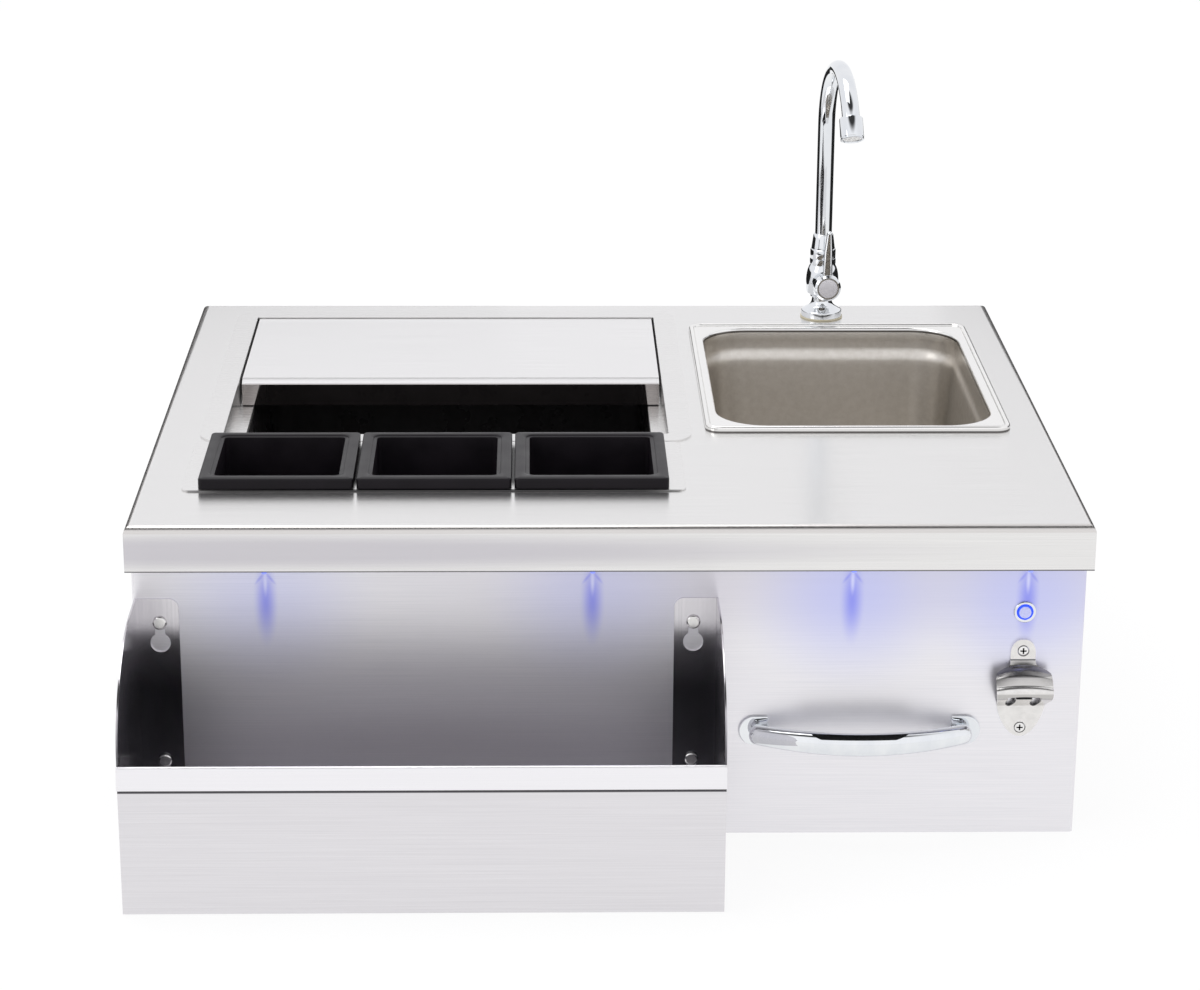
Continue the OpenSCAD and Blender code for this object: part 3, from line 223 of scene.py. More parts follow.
def copyMoved(piece, name, offset):
    # one more of the same, with its own mesh
    copy = bpy.data.objects.new(name, piece.data.copy())
    bpy.context.scene.collection.objects.link(copy)
    copy.data.transform(Matrix.Translation(offset))
    return copy


def addCutter(kind, place, **settings):
    # a cylinder or a block along the front-to-back direction, to cut with
    deselectAll()
    if kind == "cylinder":
        turn = settings.get("rotation", (math.pi / 2, 0, 0))
        bpy.ops.mesh.primitive_cylinder_add(vertices=48, radius=settings["radius"] * mm,
                                            depth=settings["depth"] * mm, location=place, rotation=turn)
    else:
        bpy.ops.mesh.primitive_cube_add(size=mm, location=place, scale=settings["size"])
    return bpy.context.object


def linearColour(hexText):
    values = [int(hexText[i:i + 2], 16) / 255 for i in (1, 3, 5)]
    return [v / 12.92 if v <= 0.04045 else ((v + 0.055) / 1.055) ** 2.4 for v in values] + [1]


def addNode(tree, kind, settings=None, values=None, links=None):
    node = tree.nodes.new("ShaderNode" + kind)
    for key, value in (settings or {}).items():
        setattr(node, key, value)
    for key, value in (values or {}).items():
        node.inputs[key].default_value = value
    for key, source in (links or {}).items():
        tree.links.new(source, node.inputs[key])
    return node


def newMaterial(name, **sockets):
    material = bpy.data.materials.new(name)
    material.use_nodes = True
    shader = material.node_tree.nodes["Principled BSDF"]
    for key, value in sockets.items():
        shader.inputs[key.replace("_", " ")].default_value = value
    return material, material.node_tree, shader


def scaledNoise(tree, sizeMm, detail=3.0, roughness=0.55):
    # noise whose features measure sizeMm along x, y and z
    place = addNode(tree, "TexCoord")
    mapping = addNode(tree, "Mapping", links={"Vector": place.outputs["Object"]},
                      values={"Scale": [1 / (size * mm) for size in sizeMm]})
    return addNode(tree, "TexNoise", values={"Scale": 1.0, "Detail": detail, "Roughness": roughness},
                   links={"Vector": mapping.outputs["Vector"]})


def addPattern(tree, shader, pattern, colours=None, roughness=None, bumpMm=0.0, strength=0.3):
    # lets one pattern vary the colour, the roughness and the height of a surface
    if colours:
        share = addNode(tree, "MapRange", values={"From Min": 0.3, "From Max": 0.7}, links={"Value": pattern})
        mixed = addNode(tree, "Mix", {"data_type": "RGBA"}, links={0: share.outputs["Result"]},
                        values={6: linearColour(colours[0]), 7: linearColour(colours[1])})
        tree.links.new(mixed.outputs[2], shader.inputs["Base Color"])
    if roughness:
        share = addNode(tree, "MapRange", links={"Value": pattern},
                        values={"From Min": 0.3, "From Max": 0.7, "To Min": roughness[0],
                                "To Max": roughness[1]})
        tree.links.new(share.outputs["Result"], shader.inputs["Roughness"])
    if bumpMm:
        bump = addNode(tree, "Bump", values={"Strength": strength, "Distance": bumpMm * mm},
                       links={"Height": pattern})
        tree.links.new(bump.outputs["Normal"], shader.inputs["Normal"])


def layColour(tree, shader, share, hexText):
    # mixes a colour over the colour so far
    laid = addNode(tree, "Mix", {"data_type": "RGBA"}, {7: linearColour(hexText)},
                   {0: share, 6: shader.inputs["Base Color"].links[0].from_socket})
    tree.links.new(laid.outputs[2], shader.inputs["Base Color"])


def layRoughness(tree, shader, share, roughness):
    # mixes another roughness over the roughness so far
    laid = addNode(tree, "Mix", {"data_type": "FLOAT"}, {3: roughness},
                   {0: share, 2: shader.inputs["Roughness"].links[0].from_socket})
    tree.links.new(laid.outputs[0], shader.inputs["Roughness"])


def addSpot(tree, shader, middleMm, halfSizeMm, hexText, strength, tilt=0.0, edge=0.7):
    # lays a soft oval of another colour over the colour so far; sizes and places in mm
    place = addNode(tree, "TexCoord")
    oval = addNode(tree, "Mapping", {"vector_type": "TEXTURE"}, links={"Vector": place.outputs["Object"]},
                   values={"Location": [value * mm for value in middleMm],
                           "Rotation": (0, math.radians(tilt), 0),
                           "Scale": [value * mm for value in halfSizeMm]})
    fade = addNode(tree, "TexGradient", {"gradient_type": "SPHERICAL"},
                   links={"Vector": oval.outputs["Vector"]})
    share = addNode(tree, "MapRange", {"interpolation_type": "SMOOTHSTEP"},
                    {"From Max": edge, "To Max": strength}, {"Value": fade.outputs["Fac"]})
    layColour(tree, shader, share.outputs["Result"], hexText)


def placeAlong(tree, axis):
    place = addNode(tree, "TexCoord")
    return addNode(tree, "SeparateXYZ", links={"Vector": place.outputs["Object"]}).outputs[axis]


def fadeBetween(tree, axis, start, end, kind="SMOOTHSTEP"):
    # runs from 0 to 1 between two places along an axis, in mm
    return addNode(tree, "MapRange", {"interpolation_type": kind},
                   {"From Min": start * mm, "From Max": end * mm},
                   {"Value": placeAlong(tree, axis)}).outputs[0]


def addBand(tree, shader, heights, hexText, strength):
    # lays another colour between heights: it fades in over the first two and out over the last two
    rise = fadeBetween(tree, "Z", heights[0], heights[1])
    fall = fadeBetween(tree, "Z", heights[3], heights[2])
    both = addNode(tree, "Math", {"operation": "MULTIPLY"}, links={0: rise, 1: fall})
    share = addNode(tree, "Math", {"operation": "MULTIPLY"}, {1: strength}, {0: both.outputs[0]})
    layColour(tree, shader, share.outputs[0], hexText)


# Stainless steel, brushed with an abrasive belt: long fine scratches all one way, which smear what
# it mirrors across them. The real scratches are finer than a pixel, so they are drawn coarser here.
brushedSteel = {"grainLength": 120, "grainWidth": 0.55, "anisotropy": 0.6}


def makeBrushedSteel(name, light, dark, along, roughness, depth=0.006):
    material, tree, shader = newMaterial(name, Metallic=1.0, Anisotropic=brushedSteel["anisotropy"])
    grain = [brushedSteel["grainLength"] if axis == along else brushedSteel["grainWidth"] for axis in "xyz"]
    addPattern(tree, shader, scaledNoise(tree, grain, 5, 0.7).outputs["Fac"], (light, dark), roughness, depth)
    scratches = addNode(tree, "CombineXYZ",
                        values={axis.upper(): 1.0 if axis == along else 0.04 for axis in "xyz"})
    across = addNode(tree, "VectorMath", {"operation": "CROSS_PRODUCT"},
                     links={0: scratches.outputs["Vector"],
                            1: addNode(tree, "NewGeometry").outputs["True Normal"]})
    tree.links.new(across.outputs["Vector"], shader.inputs["Tangent"])
    return material, tree, shader


# Chrome plate on polished brass or steel: a near perfect mirror with the faintest haze of wiping.
def makeChrome(name, colours=("#e9ebed", "#dfe2e6"), roughness=(0.02, 0.05)):
    material, tree, shader = newMaterial(name, Metallic=1.0)
    addPattern(tree, shader, scaledNoise(tree, [14, 14, 30]).outputs["Fac"], colours, roughness)
    return material


# Stainless steel, pressed and buffed or satin: soft reflections and fine random scratches.
def makePolishedSteel(name, light, dark, roughness, sizeMm=(3, 3, 12), depth=0.003):
    material, tree, shader = newMaterial(name, Metallic=1.0)
    addPattern(tree, shader, scaledNoise(tree, sizeMm, 5, 0.65).outputs["Fac"], (light, dark), roughness,
               depth)
    return material, tree, shader


# Plastic or rubber out of a mould: a fine even grain, and a colour that varies a little.
def makeMoulded(name, light, dark, roughness, grainMm=0.7, depth=0.01, ior=1.5, **sockets):
    material, tree, shader = newMaterial(name, IOR=ior, **sockets)
    addPattern(tree, shader, scaledNoise(tree, [25] * 3).outputs["Fac"], (light, dark), roughness)
    addPattern(tree, shader, scaledNoise(tree, [grainMm] * 3, 2).outputs["Fac"], bumpMm=depth)
    return material


# Hot-dip galvanised steel: dull zinc with a spangle of crystals about 8 mm across.
def makeGalvanised(name, light, dark):
    material, tree, shader = newMaterial(name, Metallic=1.0)
    place = addNode(tree, "TexCoord")
    spangle = addNode(tree, "TexVoronoi", values={"Scale": 1 / (8 * mm)},
                      links={"Vector": place.outputs["Object"]})
    grey = addNode(tree, "RGBToBW", links={"Color": spangle.outputs["Color"]})
    addPattern(tree, shader, grey.outputs["Val"], (light, dark), (0.38, 0.52))
    return material


# Painted light on the rail: shade low on the inside of its ends, a shadow line under its fold, and a
# highlight on the folded band.
railShade = {"from": 178, "to": 124, "middle": -145.3, "face": -387.5, "colour": "#6a696d",
             "inwards": (0.12, 0.05), "line": 103.4, "lineSize": (4000, 3, 1.9), "shadowLineColour": "#3f3d41",
             "hem": (105, 106, 126, 127), "hemColour": "#f6f5f7"}
panelShade = {"top": ((190, 0, 228), (460, 800, 75), "#d2cfd9", 0.7),
              "behindRail": ((railShade["middle"], 0, 66), (300, 800, 58), "#b4b1b6", 0.5)}
downlight = {"x": [-272.5, -14.2, 192, 331.6], "top": 228, "deep": 800, "hazeStrength": (0.5, 0.8),
             "strongFrom": 100, "haze": ("#bcc2fa", (105, 95), 22), "streak": ("#7c83f2", (11.5, 44), 26),
             "ray": ("#7d82ea", (1.9, 9), 6.5), "core": ("#e4e6ff", (2.6, 15), 10), "rayAside": 4.2,
             "rayTilt": 38}


# The same brushed steel, with painted shade at the top and behind the rail. The downlights' glow is
# painted on it: a broad haze, a streak that hangs from each light, a short ray to each side, and a bright
# core.
def makePanelSteel():
    material, tree, shader = makeBrushedSteel("beltBrushedStainlessPanel", "#f0eef1", "#e3e2e6", "x",
                                              (0.29, 0.36))
    for spot in panelShade.values():
        addSpot(tree, shader, *spot)
    for x in downlight["x"]:
        hazeStrength = downlight["hazeStrength"][x > downlight["strongFrom"]]
        for kind, aside, tilt, strength in (("haze", 0, 0, hazeStrength), ("streak", 0, 0, 0.9),
                                            ("ray", -1, 1, 0.6), ("ray", 1, -1, 0.6),
                                            ("core", 0, 0, 0.85)):
            hexText, size, drop = downlight[kind]
            addSpot(tree, shader, (x + aside * downlight["rayAside"], 0, downlight["top"] - drop),
                    (size[0], downlight["deep"], size[1]), hexText, strength, tilt * downlight["rayTilt"],
                    1.0)
    return material


# Painted shade on the counter's lip and fold, a painted shadow line along its lower hem, and painted shadows
# on the tray holder.
counterShade = {"fold": (263.2, 264.6, 269.2, 269.9), "foldShadeColour": "#d2cecb",
                "hem": (231.0, 231.2, 232.5, 233.3), "hemColour": "#4b494d", "gap": (3.2, 62, 14),
                "underTrays": (240, 3.6, 12), "underTraysShadowColour": "#3a393a", "lipMiddle": (-280, 249),
                "lip": (640, 60, 19), "lipShadeColour": "#c6c3c9", "gapShadowColour": "#0c0c0d"}


# The counter's sheet, with painted shade on its lip and fold and a painted shadow line along its lower hem.
def makeCounterSteel():
    material, tree, shader = makeBrushedSteel("brushedStainlessCounter", "#eae9e8", "#e1e0df", "x",
                                              (0.2, 0.25), 0.003)
    aside, height = counterShade["lipMiddle"]
    addSpot(tree, shader, (aside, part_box("countertop")[0].y / mm, height), counterShade["lip"],
            counterShade["lipShadeColour"], 0.85)
    addBand(tree, shader, counterShade["fold"], counterShade["foldShadeColour"], 0.75)
    addBand(tree, shader, counterShade["hem"], counterShade["hemColour"], 0.9)
    return material


# The tray holder's sheet, with painted shadow in the gaps between the trays and under their front rims.
def makeHolderSteel():
    material, tree, shader = makeBrushedSteel("brushedStainlessHolder", "#eae9e8", "#e1e0df", "x",
                                              (0.24, 0.3), 0.003)
    low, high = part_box("tray_holder")
    middle = boxMiddle("tray_middle") / mm
    for left, right in (("tray_left", "tray_middle"), ("tray_middle", "tray_right")):
        gap = (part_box(left)[1].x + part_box(right)[0].x) / 2 / mm
        addSpot(tree, shader, (gap, middle.y, high.z / mm), counterShade["gap"], counterShade["gapShadowColour"],
                1.0, edge=0.3)
    addSpot(tree, shader, (middle.x, low.y / mm, high.z / mm), counterShade["underTrays"],
            counterShade["underTraysShadowColour"], 0.95, edge=0.3)
    return material


lidShade = {"front": (200, 201, 265.6, 267.6), "colour": "#a39e9c", "roughness": 0.05}


# The lid's sheet, brushed on top, with its folded front polished like a mirror and darkened by a painted
# reflection.
def makeLidSteel():
    material, tree, shader = makeBrushedSteel("brushedStainlessLid", "#efeeee", "#e6e5e5", "x", (0.22, 0.27),
                                              0.003)
    folded = fadeBetween(tree, "Z", lidShade["front"][3], lidShade["front"][2])
    layRoughness(tree, shader, folded, lidShade["roughness"])
    addBand(tree, shader, lidShade["front"], lidShade["colour"], 1.0)
    return material


# The rail's ends: the same steel with a finer polish, painted dark low on the inner side, where the
# rail would shade it.
def makeRailEndSteel():
    material, tree, shader = makeBrushedSteel("shadedStainlessRailEnd", "#d9d6da", "#cbc9cd", "z",
                                              (0.15, 0.2))
    facing = addNode(tree, "SeparateXYZ",
                     links={"Vector": addNode(tree, "NewGeometry").outputs["Normal"]})
    side = addNode(tree, "Math", {"operation": "SUBTRACT"}, {1: railShade["middle"] * mm},
                   {0: placeAlong(tree, "X")})
    outer = addNode(tree, "Math", {"operation": "MULTIPLY"},
                    links={0: side.outputs[0], 1: facing.outputs["X"]})
    inner = addNode(tree, "MapRange",
                    values={"From Min": railShade["inwards"][0], "From Max": railShade["inwards"][1]},
                    links={"Value": outer.outputs[0]})
    depth = fadeBetween(tree, "Z", railShade["from"], railShade["to"])
    share = addNode(tree, "Math", {"operation": "MULTIPLY"}, links={0: inner.outputs[0], 1: depth})
    layColour(tree, shader, share.outputs[0], railShade["colour"])
    return material


# The rail's sheet, with a painted shadow line under its folded band and a painted highlight on the band
# itself.
def makeRailSteel():
    material, tree, shader = makeBrushedSteel("brushedStainlessRail", "#e5e3e6", "#d9d7da", "x", (0.27, 0.34))
    addSpot(tree, shader, (railShade["middle"], railShade["face"], railShade["line"]), railShade["lineSize"],
            railShade["shadowLineColour"], 0.95, edge=0.5)
    addBand(tree, shader, railShade["hem"], railShade["hemColour"], 0.7)
    return material


# Painted light on the bowl: a highlight on the rim and a shadow line at the rim's foot.
bowlShade = {"rim": (266, 271), "rimColour": "#eeedeb", "rimRoughness": 0.12,
             "line": (269, 269.2, 270.7, 271.6), "shadowLineColour": "#4e4a47"}


# Satin stainless steel, pressed: warm and soft in the bowl and buffed on the rim, which is painted whiter as
# a painted highlight, with a painted shadow line at the rim's foot.
def makeBowlSteel():
    material, tree, shader = makePolishedSteel("satinPressedStainless", "#d8d4ce", "#ccc7c0", (0.30, 0.36),
                                               (6, 6, 6), 0.002)
    rim = fadeBetween(tree, "Z", *bowlShade["rim"], "LINEAR")
    layColour(tree, shader, rim, bowlShade["rimColour"])
    layRoughness(tree, shader, rim, bowlShade["rimRoughness"])
    addBand(tree, shader, bowlShade["line"], bowlShade["shadowLineColour"], 0.9)
    return material


# Buffed steel screws, with painted shade across the bottom of each cross recess.
def makeScrewSteel(places):
    material, tree, shader = makePolishedSteel("buffedStainlessScrews", "#efeeed", "#e3e2e1", (0.12, 0.18))
    for place in places:
        addSpot(tree, shader, (place.x / mm, place.y / mm - 0.9, place.z / mm), (60, 1.9, 60), "#060607", 1.0,
                edge=0.25)
    return material


openerShade = {
    "mouth": "#0d0c0d",
    "bands": [((47.6, 48.6, 54.4, 55.4), "#9a9898"), ((42.0, 42.6, 47.6, 48.6), "#c9c7c5"),
              ((58.0, 58.4, 58.9, 59.3), "#6d6c70"), ((30.5, 31.5, 36.0, 37.5), "#bcbab8")]}


# Spring steel, tumbled to a soft shine. The light and shade of its slopes is painted, in bands by their
# height above the lower screw, and the edges of its mouth have painted shade.
def makeOpenerSteel(place, mouth):
    material, tree, shader = makePolishedSteel("tumbledStainlessSpringSteel", "#eae8e6", "#dcdad8",
                                               (0.2, 0.26), (9, 9, 9), 0.001)
    for heights, hexText in openerShade["bands"]:
        addBand(tree, shader, [place.z / mm + height for height in heights], hexText, 0.9)
    low, high = mouth["slotHeight"] - mouth["slotRadius"], mouth["mouthTop"]
    for side in (-1, 1):
        addSpot(tree, shader, (place.x / mm + side * mouth["slotAside"], place.y / mm,
                               place.z / mm + (low + high) / 2 - 0.5),
                (mouth["slotRadius"] + 0.8, 400, (high - low) / 2 + 1.1), openerShade["mouth"], 1.0,
                edge=0.12)
    addSpot(tree, shader, (place.x / mm, place.y / mm, place.z / mm + high - mouth["mouthSlit"] / 2),
            (mouth["slotAside"] + 3, 400, mouth["mouthSlit"] / 2 + 0.9), openerShade["mouth"], 1.0, edge=0.2)
    return material


def makeLight(name, colours, strength, **sockets):
    material, tree, shader = newMaterial(name, Roughness=0.25, Emission_Strength=strength, **sockets)
    addPattern(tree, shader, scaledNoise(tree, [1.2] * 3, 2).outputs["Fac"], colours)
    shader.inputs["Emission Color"].default_value = linearColour(colours[0])
    return material


counterSteel = makeCounterSteel()
holderSteel = makeHolderSteel()
frameSteel = makeBrushedSteel("brushedStainlessFrame", "#eae9e8", "#e1e0df", "x", (0.24, 0.3), 0.003)[0]
lidSteel = makeLidSteel()
sheetSteel = makeBrushedSteel("brushedStainlessSheet", "#e2e0e2", "#d6d4d7", "x", (0.27, 0.34))[0]
uprightSteel = makeBrushedSteel("brushedStainlessUpright", "#dedcdf", "#d2d0d4", "z", (0.24, 0.3))[0]
railSteel = makeRailSteel()
railEndSteel = makeRailEndSteel()
panelSteel = makePanelSteel()
bowlSteel = makeBowlSteel()
polishedSteel = makePolishedSteel("buffedStainless", "#e4e3e1", "#d8d7d6", (0.12, 0.18))[0]
chrome = makeChrome("chromePlatedBrass")
galvanised = makeGalvanised("hotDipGalvanisedSteel", "#b9bcbf", "#a3a7aa")
blackPlastic = makeMoulded("mouldedBlackPolypropylene", "#151216", "#1b171c", (0.28, 0.38), ior=1.42,
                           Specular_IOR_Level=0.22)
linerPlastic = makeMoulded("rotomouldedBlackPolyethylene", "#3a3839", "#434142", (0.25, 0.34), grainMm=1.5)
whitePlastic = makeMoulded("mouldedWhiteAcetal", "#e6e4df", "#dad7d0", (0.35, 0.45))
indexPlastic = makeMoulded("lacqueredIndexDisc", "#dcdadd", "#d3d1d6", (0.14, 0.2), depth=0.002)
foam = makeMoulded("expandedPolyurethaneFoam", "#e2d7b0", "#d3c69a", (0.8, 0.9), grainMm=2.5, depth=0.3)
rubber = makeMoulded("mouldedBlackRubber", "#1d1d1e", "#262526", (0.6, 0.7))
creamGasket = makeMoulded("mouldedCreamVinyl", "#d3cbb4", "#c6bda3", (0.45, 0.55))
brass = makePolishedSteel("machinedBrass", "#c9a86a", "#b39155", (0.2, 0.3))[0]
ringLight = makeLight("frostedBlueLightRing", ("#1f46ff", "#1233f0"), 1.1)
lensLight = makeLight("clearBlueLedEpoxy", ("#8d9bff", "#7887ff"), 0.7)
capPlastic = makeLight("frostedPolycarbonateCap", ("#b9bdea", "#c6c9f0"), 0.14)
print("materials: done")


camera = {"place": (-0.0605, -2.617, 1.1018), "down": 18.85, "right": 1.25, "roll": 0.31, "lens": 96.14}
cameraData = bpy.data.cameras.new("camera")
cameraData.lens = camera["lens"]
cameraData.clip_end = 100
cameraObject = bpy.data.objects.new("camera", cameraData)
cameraObject.matrix_world = (Matrix.Translation(camera["place"])
                             @ Matrix.Rotation(math.radians(-camera["right"]), 4, "Z")
                             @ Matrix.Rotation(math.radians(90 - camera["down"]), 4, "X")
                             @ Matrix.Rotation(math.radians(camera["roll"]), 4, "Z"))
bpy.context.scene.collection.objects.link(cameraObject)
bpy.context.scene.camera = cameraObject
bpy.context.scene.view_settings.view_transform = "Standard"

# A pale studio all round, brightest low in front, with a dark band above that.
studio = {"level": 1.02, "front": (95, 140), "low": (46, 58, 1.1), "band": (84, 89, 0.05), "high": 0.72}
world = bpy.data.worlds.new("studio")
bpy.context.scene.world = world
world.use_nodes = True
tree = world.node_tree
tree.nodes.clear()
direction = addNode(tree, "SeparateXYZ",
                    links={"Vector": addNode(tree, "TexCoord").outputs["Generated"]})
azimuth = addNode(tree, "Math", {"operation": "ARCTAN2"},
                  links={0: direction.outputs["X"], 1: direction.outputs["Y"]})
aside = addNode(tree, "Math", {"operation": "ABSOLUTE"}, links={0: azimuth.outputs[0]})
elevation = addNode(tree, "Math", {"operation": "ARCSINE"}, links={0: direction.outputs["Z"]})
share = {}
for name, source, start, end in (("front", aside, *studio["front"]), ("band", elevation, *studio["low"][:2]),
                                 ("high", elevation, *studio["band"][:2])):
    share[name] = addNode(tree, "MapRange", {"interpolation_type": "SMOOTHSTEP"},
                          {"From Min": math.radians(start), "From Max": math.radians(end)},
                          {"Value": source.outputs[0]}).outputs[0]
level = addNode(tree, "Mix", {"data_type": "FLOAT"}, {2: studio["low"][2], 3: studio["band"][2]},
                {0: share["band"]})
level = addNode(tree, "Mix", {"data_type": "FLOAT"}, {3: studio["high"]},
                {0: share["high"], 2: level.outputs[0]})
level = addNode(tree, "Mix", {"data_type": "FLOAT"}, {2: studio["level"]},
                {0: share["front"], 3: level.outputs[0]})
ray = addNode(tree, "LightPath")
room = addNode(tree, "Background", {}, {"Color": linearColour("#fbfbfd")}, {"Strength": level.outputs[0]})
paper = addNode(tree, "Background", values={"Color": (1, 1, 1, 1), "Strength": 1.0})
both = addNode(tree, "MixShader",
               links={0: ray.outputs["Is Camera Ray"], 1: room.outputs[0], 2: paper.outputs[0]})
addNode(tree, "OutputWorld", links={"Surface": both.outputs[0]})

# Low black boards stand around the set, and a card lies over the towel bar. Only reflections show
# them: they draw the black lines in chrome. Each board is its direction in degrees from straight
# behind the faucet, its width in degrees, its distance and its height.
boards = {"middle": (0.216, 0.35), "right": (60, 90, 0.6, 0.4), "left": (-50, 70, 1.0, 0.4),
          "narrow": (-132, 6, 1.7, 0.4)}
barCard = {"middle": (0.2, -0.2875, 0.119), "size": (0.086, 0.045)}
blackBoard, tree, shader = newMaterial("blackFlockedBoard", Roughness=0.95)
shader.inputs["Base Color"].default_value = linearColour("#0c0c0c")
# The card is black from below and clear from above, so that the panel behind the bar doesn't show it.
blackCard, tree, shader = newMaterial("blackCardClearFromAbove", Roughness=0.95)
shader.inputs["Base Color"].default_value = linearColour("#0c0c0c")
clear = addNode(tree, "BsdfTransparent")
below = addNode(tree, "NewGeometry").outputs["Backfacing"]
mixed = addNode(tree, "MixShader", links={0: below, 1: clear.outputs[0], 2: shader.outputs[0]})
tree.links.new(mixed.outputs[0], tree.nodes["Material Output"].inputs["Surface"])


def addBoard(name, place, size, rotation, material=blackBoard):
    deselectAll()
    bpy.ops.mesh.primitive_plane_add(size=1, rotation=rotation, location=place)
    board = bpy.context.object
    board.name = name
    board.scale = (size[0], size[1], 1)
    for kind in ("camera", "diffuse", "transmission", "shadow", "volume_scatter"):
        setattr(board, "visible_" + kind, False)
    board.data.materials.append(material)


for name in ("right", "left", "narrow"):
    towards, width, distance, height = boards[name]
    angle = math.radians(towards)
    place = (boards["middle"][0] + distance * math.sin(angle),
             boards["middle"][1] + distance * math.cos(angle), height / 2)
    addBoard(name + "Board", place, (2 * distance * math.tan(math.radians(width / 2)), height),
             (math.pi / 2, 0, -angle))
addBoard("towelBarCard", barCard["middle"], barCard["size"], (0, 0, 0), blackCard)

# The floor shows as white paper, and keeps a soft shadow.
deselectAll()
bpy.ops.mesh.primitive_plane_add(size=24, location=(0, 0, 0))
floor = bpy.context.object
floor.name = "paperFloor"
floorMaterial, tree, shader = newMaterial("whitePaper", Roughness=0.9)
shader.inputs["Base Color"].default_value = linearColour("#f4f4f4")
shader.inputs["Specular IOR Level"].default_value = 0
ray = addNode(tree, "LightPath")
seen = addNode(tree, "Math", {"operation": "MAXIMUM"},
               links={0: ray.outputs["Is Camera Ray"], 1: ray.outputs["Is Glossy Ray"]}).outputs[0]
seen = addNode(tree, "Math", {"operation": "MAXIMUM"},
               links={0: seen, 1: ray.outputs["Is Transmission Ray"]}).outputs[0]
seen = addNode(tree, "Math", {"operation": "MULTIPLY"}, values={1: 0.85}, links={0: seen}).outputs[0]
glow = addNode(tree, "Emission", values={"Color": (1, 1, 1, 1), "Strength": 1.04})
mixed = addNode(tree, "MixShader", links={0: seen, 1: shader.outputs[0], 2: glow.outputs[0]})
tree.links.new(mixed.outputs[0], tree.nodes["Material Output"].inputs["Surface"])
floor.data.materials.append(floorMaterial)

lamps = {"overhead": ((-0.5, 0.2, 2.6), (0, 0, 0.2), 1.6, 14),
         "side": ((-2.2, -1.2, 1.6), (0.1, 0, 0.2), 1.2, 5)}
for name, (place, aim, size, power) in lamps.items():
    lamp = bpy.data.lights.new(name, "AREA")
    lamp.size = size
    lamp.energy = power
    lampObject = bpy.data.objects.new(name, lamp)
    lampObject.location = place
    lampObject.rotation_euler = (Vector(aim) - Vector(place)).to_track_quat("-Z", "Y").to_euler()
    bpy.context.scene.collection.objects.link(lampObject)
print("studio: done")


def camelName(node):
    first, *rest = node.split("_")
    return first + "".join(word.title() for word in rest)


def dressed(node, material, edgeMm=0.3, segments=2):
    # a merged copy of the node, with its edges broken and its curves shaded smooth
    piece = bpy.data.objects.new(camelName(node) + "Finished", nodes[node].data.copy())
    bpy.context.scene.collection.objects.link(piece)
    editAll(piece)
    bpy.ops.mesh.remove_doubles(threshold=0.005 * mm)
    bpy.ops.mesh.dissolve_limited(angle_limit=math.radians(0.5))
    bpy.ops.mesh.customdata_custom_splitnormals_clear()
    setMode("OBJECT")
    if edgeMm:
        breakEdges(piece, edgeMm, segments)
    else:
        smoothByAngle(piece)
    finishPiece(piece, material, node)


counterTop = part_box("countertop")[1].z

sink = {"sheet": 0.9, "rimCorner": 13, "rollCorner": 45, "depth": 146.6, "floorRadius": 18, "floorEdge": 42,
        "drainRadius": 33, "drainCut": 8}
low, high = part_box("sink_bowl")
sinkMiddle = Vector(((low.x + high.x) / 2, (low.y + high.y) / 2, counterTop))
sinkFloor = -sink["depth"]
floorAngles = [math.radians(a) for a in (0, 10, 22, 34, 46, 58, 70, 80, 90)]
sinkRim = {"corner": sink["rimCorner"],
           "profile": [(0, 0.05), (0, 2.6)] + [(2.4 - x, z) for x, z in arc(0, 2.9, 2.4, 8, 172, 10)]
           + [(5.0, 3.5), (5.6, 3.4)]}
sinkWell = {"corner": sink["rollCorner"],
            "profile": [(9 - x, z) for x, z in arc(0, 0.4, 3, 90, 175, 6)]
            + [(12.2, -8), (12.4, -15), (12.8, -18), (13.5, -20.5), (14.4, -22.6), (15.2, -25),
               (15.7, -28), (16.1, -33), (20, -80)]
            + [(sink["floorEdge"] - sink["floorRadius"] * math.cos(a),
                sinkFloor + sink["floorRadius"] * (1 - math.sin(a))) for a in floorAngles]}
bowl = pressedPan("pressedSinkBowl", sinkMiddle, ((high.x - low.x) / mm, (high.y - low.y) / mm), sinkRim,
                  sinkWell, sink["sheet"])
unite(bowl, addCutter("cylinder", sinkMiddle + Vector((0, 0, sinkFloor * mm)), radius=sink["drainRadius"],
                      depth=sink["drainCut"], rotation=(0, 0, 0)))
smoothByAngle(bowl, 40)
finishPiece(bowl, bowlSteel, "sink_bowl")
print("sink: done")

# One tray is moulded and set down three times.
tray = {"corner": 4, "wellCorner": 9.2, "lip": 9, "wall": 2.2}
low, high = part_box("tray_left")
trayMiddle = Vector(((low.x + high.x) / 2, (low.y + high.y) / 2, high.z))
trayRim = {"corner": tray["corner"],
           "profile": [(0, -tray["lip"]), (0, -2.0)]
           + [(1.6 - x, z) for x, z in arc(0, -2.0, 1.6, 15, 90, 5)] + [(3.4, -0.08)]}
trayWell = {"corner": tray["wellCorner"],
            "profile": [(6.9, 0), (8.6, -0.4), (8.9, -0.6), (9.05, -1.0), (9.2, -1.05), (11.7, -1.1),
                        (12.1, -1.35), (12.2, -1.9), (13.1, -90), (13.2, -95.6), (13.7, -97), (14.4, -97.8)]}
firstTray = pressedPan("condimentTrayLeft", trayMiddle, ((high.x - low.x) / mm, (high.y - low.y) / mm),
                       trayRim, trayWell, tray["wall"])
smoothByAngle(firstTray, 40)
activate(firstTray)
bpy.ops.object.transform_apply(location=True)
for node, name in (("tray_middle", "condimentTrayMiddle"), ("tray_right", "condimentTrayRight")):
    finishPiece(copyMoved(firstTray, name, boxMiddle(node) - boxMiddle("tray_left")), blackPlastic, node)
